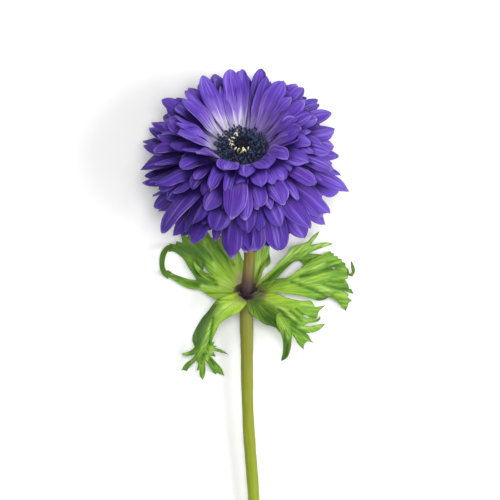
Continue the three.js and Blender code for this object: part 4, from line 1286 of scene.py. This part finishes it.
def leaf_blade(made, streaks, fibres):
    """The leaf's green from its foot to its tips, with its fine streaks and veins."""
    reach = made.value("reach")
    patches = made.noise(made.place(), 75.0, 2.0)
    shifted = made.times(made.maths("ADD", reach, made.times(patches, 6.0, -3.0)), 1 / LEAF_SPAN)
    color = made.ramp(
        shifted,
        [
            (0.07, (0.05, 0.031, 0.03)), (0.1, (0.13, 0.092, 0.07)), (0.13, (0.17, 0.135, 0.07)),
            (0.165, (0.27, 0.34, 0.03)), (0.215, (0.37, 0.53, 0.03)), (0.38, (0.27, 0.47, 0.035)),
            (0.6, (0.15, 0.33, 0.035)), (1.0, (0.095, 0.23, 0.025)),
        ],
    )
    ripe = made.between(reach, 5.0, 11.0)
    pale = made.product(ripe, made.between(streaks, 0.5, 0.72, 0.0, 0.4))
    dark = made.product(ripe, made.between(streaks, 0.5, 0.3, 0.0, 0.42))
    color = made.mix(pale, color, (0.36, 0.58, 0.06))
    color = made.mix(dark, color, (0.07, 0.19, 0.012))
    color = made.mix(made.between(fibres, 0.5, 0.66, 0.0, 0.55), color, (0.36, 0.56, 0.06))
    color = made.mix(made.between(fibres, 0.46, 0.3, 0.0, 0.4), color, (0.11, 0.25, 0.014))
    vein = made.product(ripe, made.between(made.value("rib"), 0.4, 0.1, 0.0, 0.45))
    return made.mix(vein, color, (0.36, 0.56, 0.07))


def leaf_marks(made, color, streaks, fibres):
    """The leaf's marks of painted shade, its glints of painted highlight, its furrows with painted shade, its
    husk, its darker rim and its paler underside.
    """
    # Painted shade: a darker green where the leaves fold away from the light and lie in shadow, partly their
    # own darker tissue.
    shade = made.product(made.value("shade"), made.between(fibres, 0.7, 0.3, 0.65, 1.0))
    color = made.mix(shade, color, (0.052, 0.135, 0.013))
    # Painted highlight: glints where light catches the folds, and lighter green where light falls on the
    # leaves' feet.
    glint = made.product(made.value("glint"), made.between(fibres, 0.25, 0.65, 0.0, 0.8))
    color = made.mix(glint, color, (0.42, 0.61, 0.14))
    # Painted shade in the furrows, a darker green down in the creases.
    furrow = made.product(made.value("furrow"), made.between(streaks, 0.75, 0.3, 0.35, 0.9))
    color = made.mix(furrow, color, (0.035, 0.11, 0.008))
    color = made.mix(made.value("husk"), color, (0.42, 0.34, 0.22))
    color = made.mix(made.between(made.value("edge"), 0.4, 0.05, 0.0, 0.5), color, (0.05, 0.14, 0.015))
    return made.mix(made.times(made.value("under"), 0.55), color, (0.25, 0.37, 0.16))


def leaf_finish():
    made = Finish(
        "leaf",
        Subsurface_Weight=0.12,
        Subsurface_Radius=(0.6, 1.0, 0.25),
        Subsurface_Scale=0.0014,
        Specular_IOR_Level=0.18,
        Sheen_Weight=0.03,
    )
    turn, span = made.value("turn"), made.value("span")
    seed = made.times(made.value("chance"), 30.0)
    wide = made.vector(made.times(turn, 9.0, seed), made.times(span, 0.05), seed)
    fine = made.vector(made.times(turn, 30.0, seed), made.times(span, 0.1), seed)
    streaks = made.noise(wide, 1.0, 3.0)
    fibres = made.noise(fine, 1.0, 3.0)
    cells = made.noise(made.place(), 1400.0, 2.0)
    color = leaf_marks(made, leaf_blade(made, streaks, fibres), streaks, fibres)
    relief = made.maths("ADD", made.times(fibres, 0.6), made.times(cells, 0.12))
    height = made.maths("ADD", streaks, relief)
    return made.finish(color, made.between(fibres, 0.3, 0.8, 0.42, 0.6), height, 0.5)


def stem_finish():
    made = Finish(
        "stem",
        Subsurface_Weight=0.1,
        Subsurface_Radius=(0.6, 1.0, 0.25),
        Subsurface_Scale=0.0015,
        Specular_IOR_Level=0.12,
        Sheen_Weight=0.03,
    )
    along, cut, cup = made.value("along"), made.value("cut"), made.value("cup")
    place = made.place()
    x, y, z = made.node("ShaderNodeSeparateXYZ", place).outputs
    stretched = made.vector(x, made.times(y, 0.035), z)
    streaks = made.noise(stretched, 1500.0, 3.0)
    patches = made.noise(place, 60.0, 2.0)
    place_along = made.maths("ADD", along, made.times(patches, 6.0, -3.0))
    shifted = made.times(place_along, 1 / STEM_SPAN, -STEM_START / STEM_SPAN)
    # Near 0.77, where the stem goes into the cup at the ruff's node, it turns near black: painted shade of
    # the recess over the stem's own red-brown.
    color = made.ramp(
        shifted,
        [
            (0.0, (0.28, 0.37, 0.025)), (0.3, (0.26, 0.33, 0.02)), (0.58, (0.225, 0.255, 0.02)),
            (0.73, (0.20, 0.205, 0.035)), (0.757, (0.06, 0.036, 0.034)), (0.772, (0.035, 0.018, 0.026)),
            (0.79, (0.10, 0.064, 0.038)), (0.805, (0.165, 0.125, 0.04)), (0.83, (0.20, 0.17, 0.035)),
            (0.89, (0.23, 0.215, 0.03)), (1.0, (0.22, 0.25, 0.04)),
        ],
    )
    away = made.between(made.maths("ABSOLUTE", along), 3.0, 18.0)
    pale = made.product(away, made.between(streaks, 0.5, 0.75, 0.0, 0.22))
    dark = made.product(away, made.between(streaks, 0.48, 0.25, 0.0, 0.25))
    color = made.mix(pale, color, (0.42, 0.50, 0.12))
    color = made.mix(dark, color, (0.16, 0.19, 0.03))
    # Painted shade: the cup turns near black towards the recess under the upper stem, then brown at the
    # ruff's node and green further out.
    rim = made.ramp(
        made.times(made.value("hollow"), 1 / 8),
        [
            (0.2, (0.014, 0.007, 0.013)), (0.32, (0.045, 0.028, 0.032)), (0.42, (0.08, 0.055, 0.045)),
            (0.7, (0.11, 0.09, 0.045)), (1.0, (0.19, 0.22, 0.03)),
        ],
    )
    color = made.mix(cup, color, rim)
    color = made.mix(cut, color, (0.50, 0.56, 0.28))
    return made.finish(color, made.between(streaks, 0.3, 0.8, 0.4, 0.58), streaks, 0.25)


def stamen_finish():
    made = Finish("stamen", Specular_IOR_Level=0.45, Sheen_Weight=0.15, Sheen_Tint=(0.4, 0.5, 0.8, 1.0))
    grain = made.noise(made.place(), 2600.0, 3.0)
    anther = made.ramp(
        made.value("chance"),
        [(0.0, (0.003, 0.006, 0.022)), (0.6, (0.008, 0.017, 0.055)), (1.0, (0.032, 0.06, 0.15))],
    )
    anther = made.mix(made.between(grain, 0.5, 0.8, 0.0, 0.7), anther, (0.055, 0.08, 0.18))
    color = made.mix(made.value("anther"), (0.018, 0.01, 0.045), anther)
    return made.finish(color, made.between(grain, 0.3, 0.8, 0.35, 0.7), grain, 0.12)


def curl_finish():
    made = Finish("curl", Specular_IOR_Level=0.3, Subsurface_Weight=0.1, Subsurface_Scale=0.0005)
    grain = made.noise(made.place(), 2200.0, 2.0)
    color = made.ramp(
        made.value("along"),
        [
            (0.0, (0.10, 0.09, 0.10)), (0.25, (0.50, 0.43, 0.24)), (0.6, (0.78, 0.72, 0.46)),
            (1.0, (0.66, 0.56, 0.32)),
        ],
    )
    color = made.mix(made.between(grain, 0.5, 0.8, 0.0, 0.5), color, (0.45, 0.34, 0.16))
    return made.finish(color, made.between(grain, 0.3, 0.8, 0.45, 0.65), grain, 0.1)


def pistil_finish():
    made = Finish("pistil", Specular_IOR_Level=0.3)
    grain = made.noise(made.place(), 2600.0, 3.0)
    color = made.mix(made.value("tip"), (0.003, 0.004, 0.008), (0.02, 0.024, 0.04))
    color = made.mix(made.between(grain, 0.5, 0.8, 0.0, 0.5), color, (0.02, 0.022, 0.035))
    return made.finish(color, made.between(grain, 0.3, 0.8, 0.5, 0.8), grain, 0.1)


def floor_finish():
    made = Finish("floor", Specular_IOR_Level=0.1)
    grain = made.noise(made.place(), 500.0, 3.0)
    color = made.mix(grain, (0.93, 0.93, 0.93), (0.96, 0.96, 0.96))
    return made.finish(color, made.between(grain, 0.2, 0.8, 0.8, 0.9), grain, 0.01)


# ---- the flower ----
stem_shape().piece("stem_dressed", stem_finish(), "stem", "stem")
leaf_material = leaf_finish()
for number, (name, (sheets, ribbons)) in enumerate(LEAVES.items()):
    shape = leaf_shape(sheets, ribbons, number / len(LEAVES))
    shape.piece(name + "_dressed", leaf_material, "leaf", name)
petal_material = petal_finish()
inner_petals, outer_petals = petal_shapes()
inner_petals.piece("petals_inner", petal_material, "petal", "petals")
outer_petals.piece("petals_outer", petal_material, "petal", "petals")
stamen_shape().piece("stamens_dressed", stamen_finish(), "stamen", "stamens")
curl_shape().piece("stamens_curled", curl_finish(), "stamen", "stamens")
pistil_shape().piece("pistil_dressed", pistil_finish(), "pistil", "pistil")

# ---- floor, light and camera ----
FLOOR = 4.0  # metres a side
VIEW_MIDDLE = np.array([1.2, 16.8, 12])  # what the camera looks straight down on
VIEW_WIDTH = 200  # seen across at that height
LENS = 200
SENSOR = 36
SURROUNDING_LIGHT = 0.2

bpy.ops.mesh.primitive_grid_add(x_subdivisions=8, y_subdivisions=8, size=FLOOR)
floor = bpy.context.object
floor.name = "floor"
floor.data.materials.append(floor_finish())


def soft_light(name, toward, distance, size, power):
    """A square light at that direction and distance from the bloom, in metres, that faces it."""
    way = unit(np.array(toward, float))
    data = bpy.data.lights.new(name, "AREA")
    data.size = size
    data.energy = power
    light = bpy.data.objects.new(name, data)
    light.location = (BLOOM_CENTRE - FOOTPRINT_CENTRE) * MM + way * distance
    light.rotation_euler = Vector((-way).tolist()).to_track_quat("-Z", "Y").to_euler()
    bpy.context.scene.collection.objects.link(light)


soft_light("key", (1.0, -0.15, 0.85), 1.0, 0.5, 6.6)
soft_light("overhead", (0.05, 0.05, 1.0), 1.4, 0.6, 14.0)
soft_light("fill", (-0.9, 0.35, 0.8), 1.2, 0.8, 2.4)
soft_light("near", (0.7, -0.9, 0.5), 1.2, 0.8, 1.0)

world = bpy.data.worlds.new("studio")
world.use_nodes = True
world.node_tree.nodes["Background"].inputs["Color"].default_value = (1, 1, 1, 1)
world.node_tree.nodes["Background"].inputs["Strength"].default_value = SURROUNDING_LIGHT
bpy.context.scene.world = world
bpy.context.scene.view_settings.view_transform = "Standard"

camera_data = bpy.data.cameras.new("camera")
camera_data.lens = LENS
camera_data.sensor_width = SENSOR
camera = bpy.data.objects.new("camera", camera_data)
camera.location = (VIEW_MIDDLE - FOOTPRINT_CENTRE + UP * VIEW_WIDTH * LENS / SENSOR) * MM
bpy.context.scene.collection.objects.link(camera)
bpy.context.scene.camera = camera
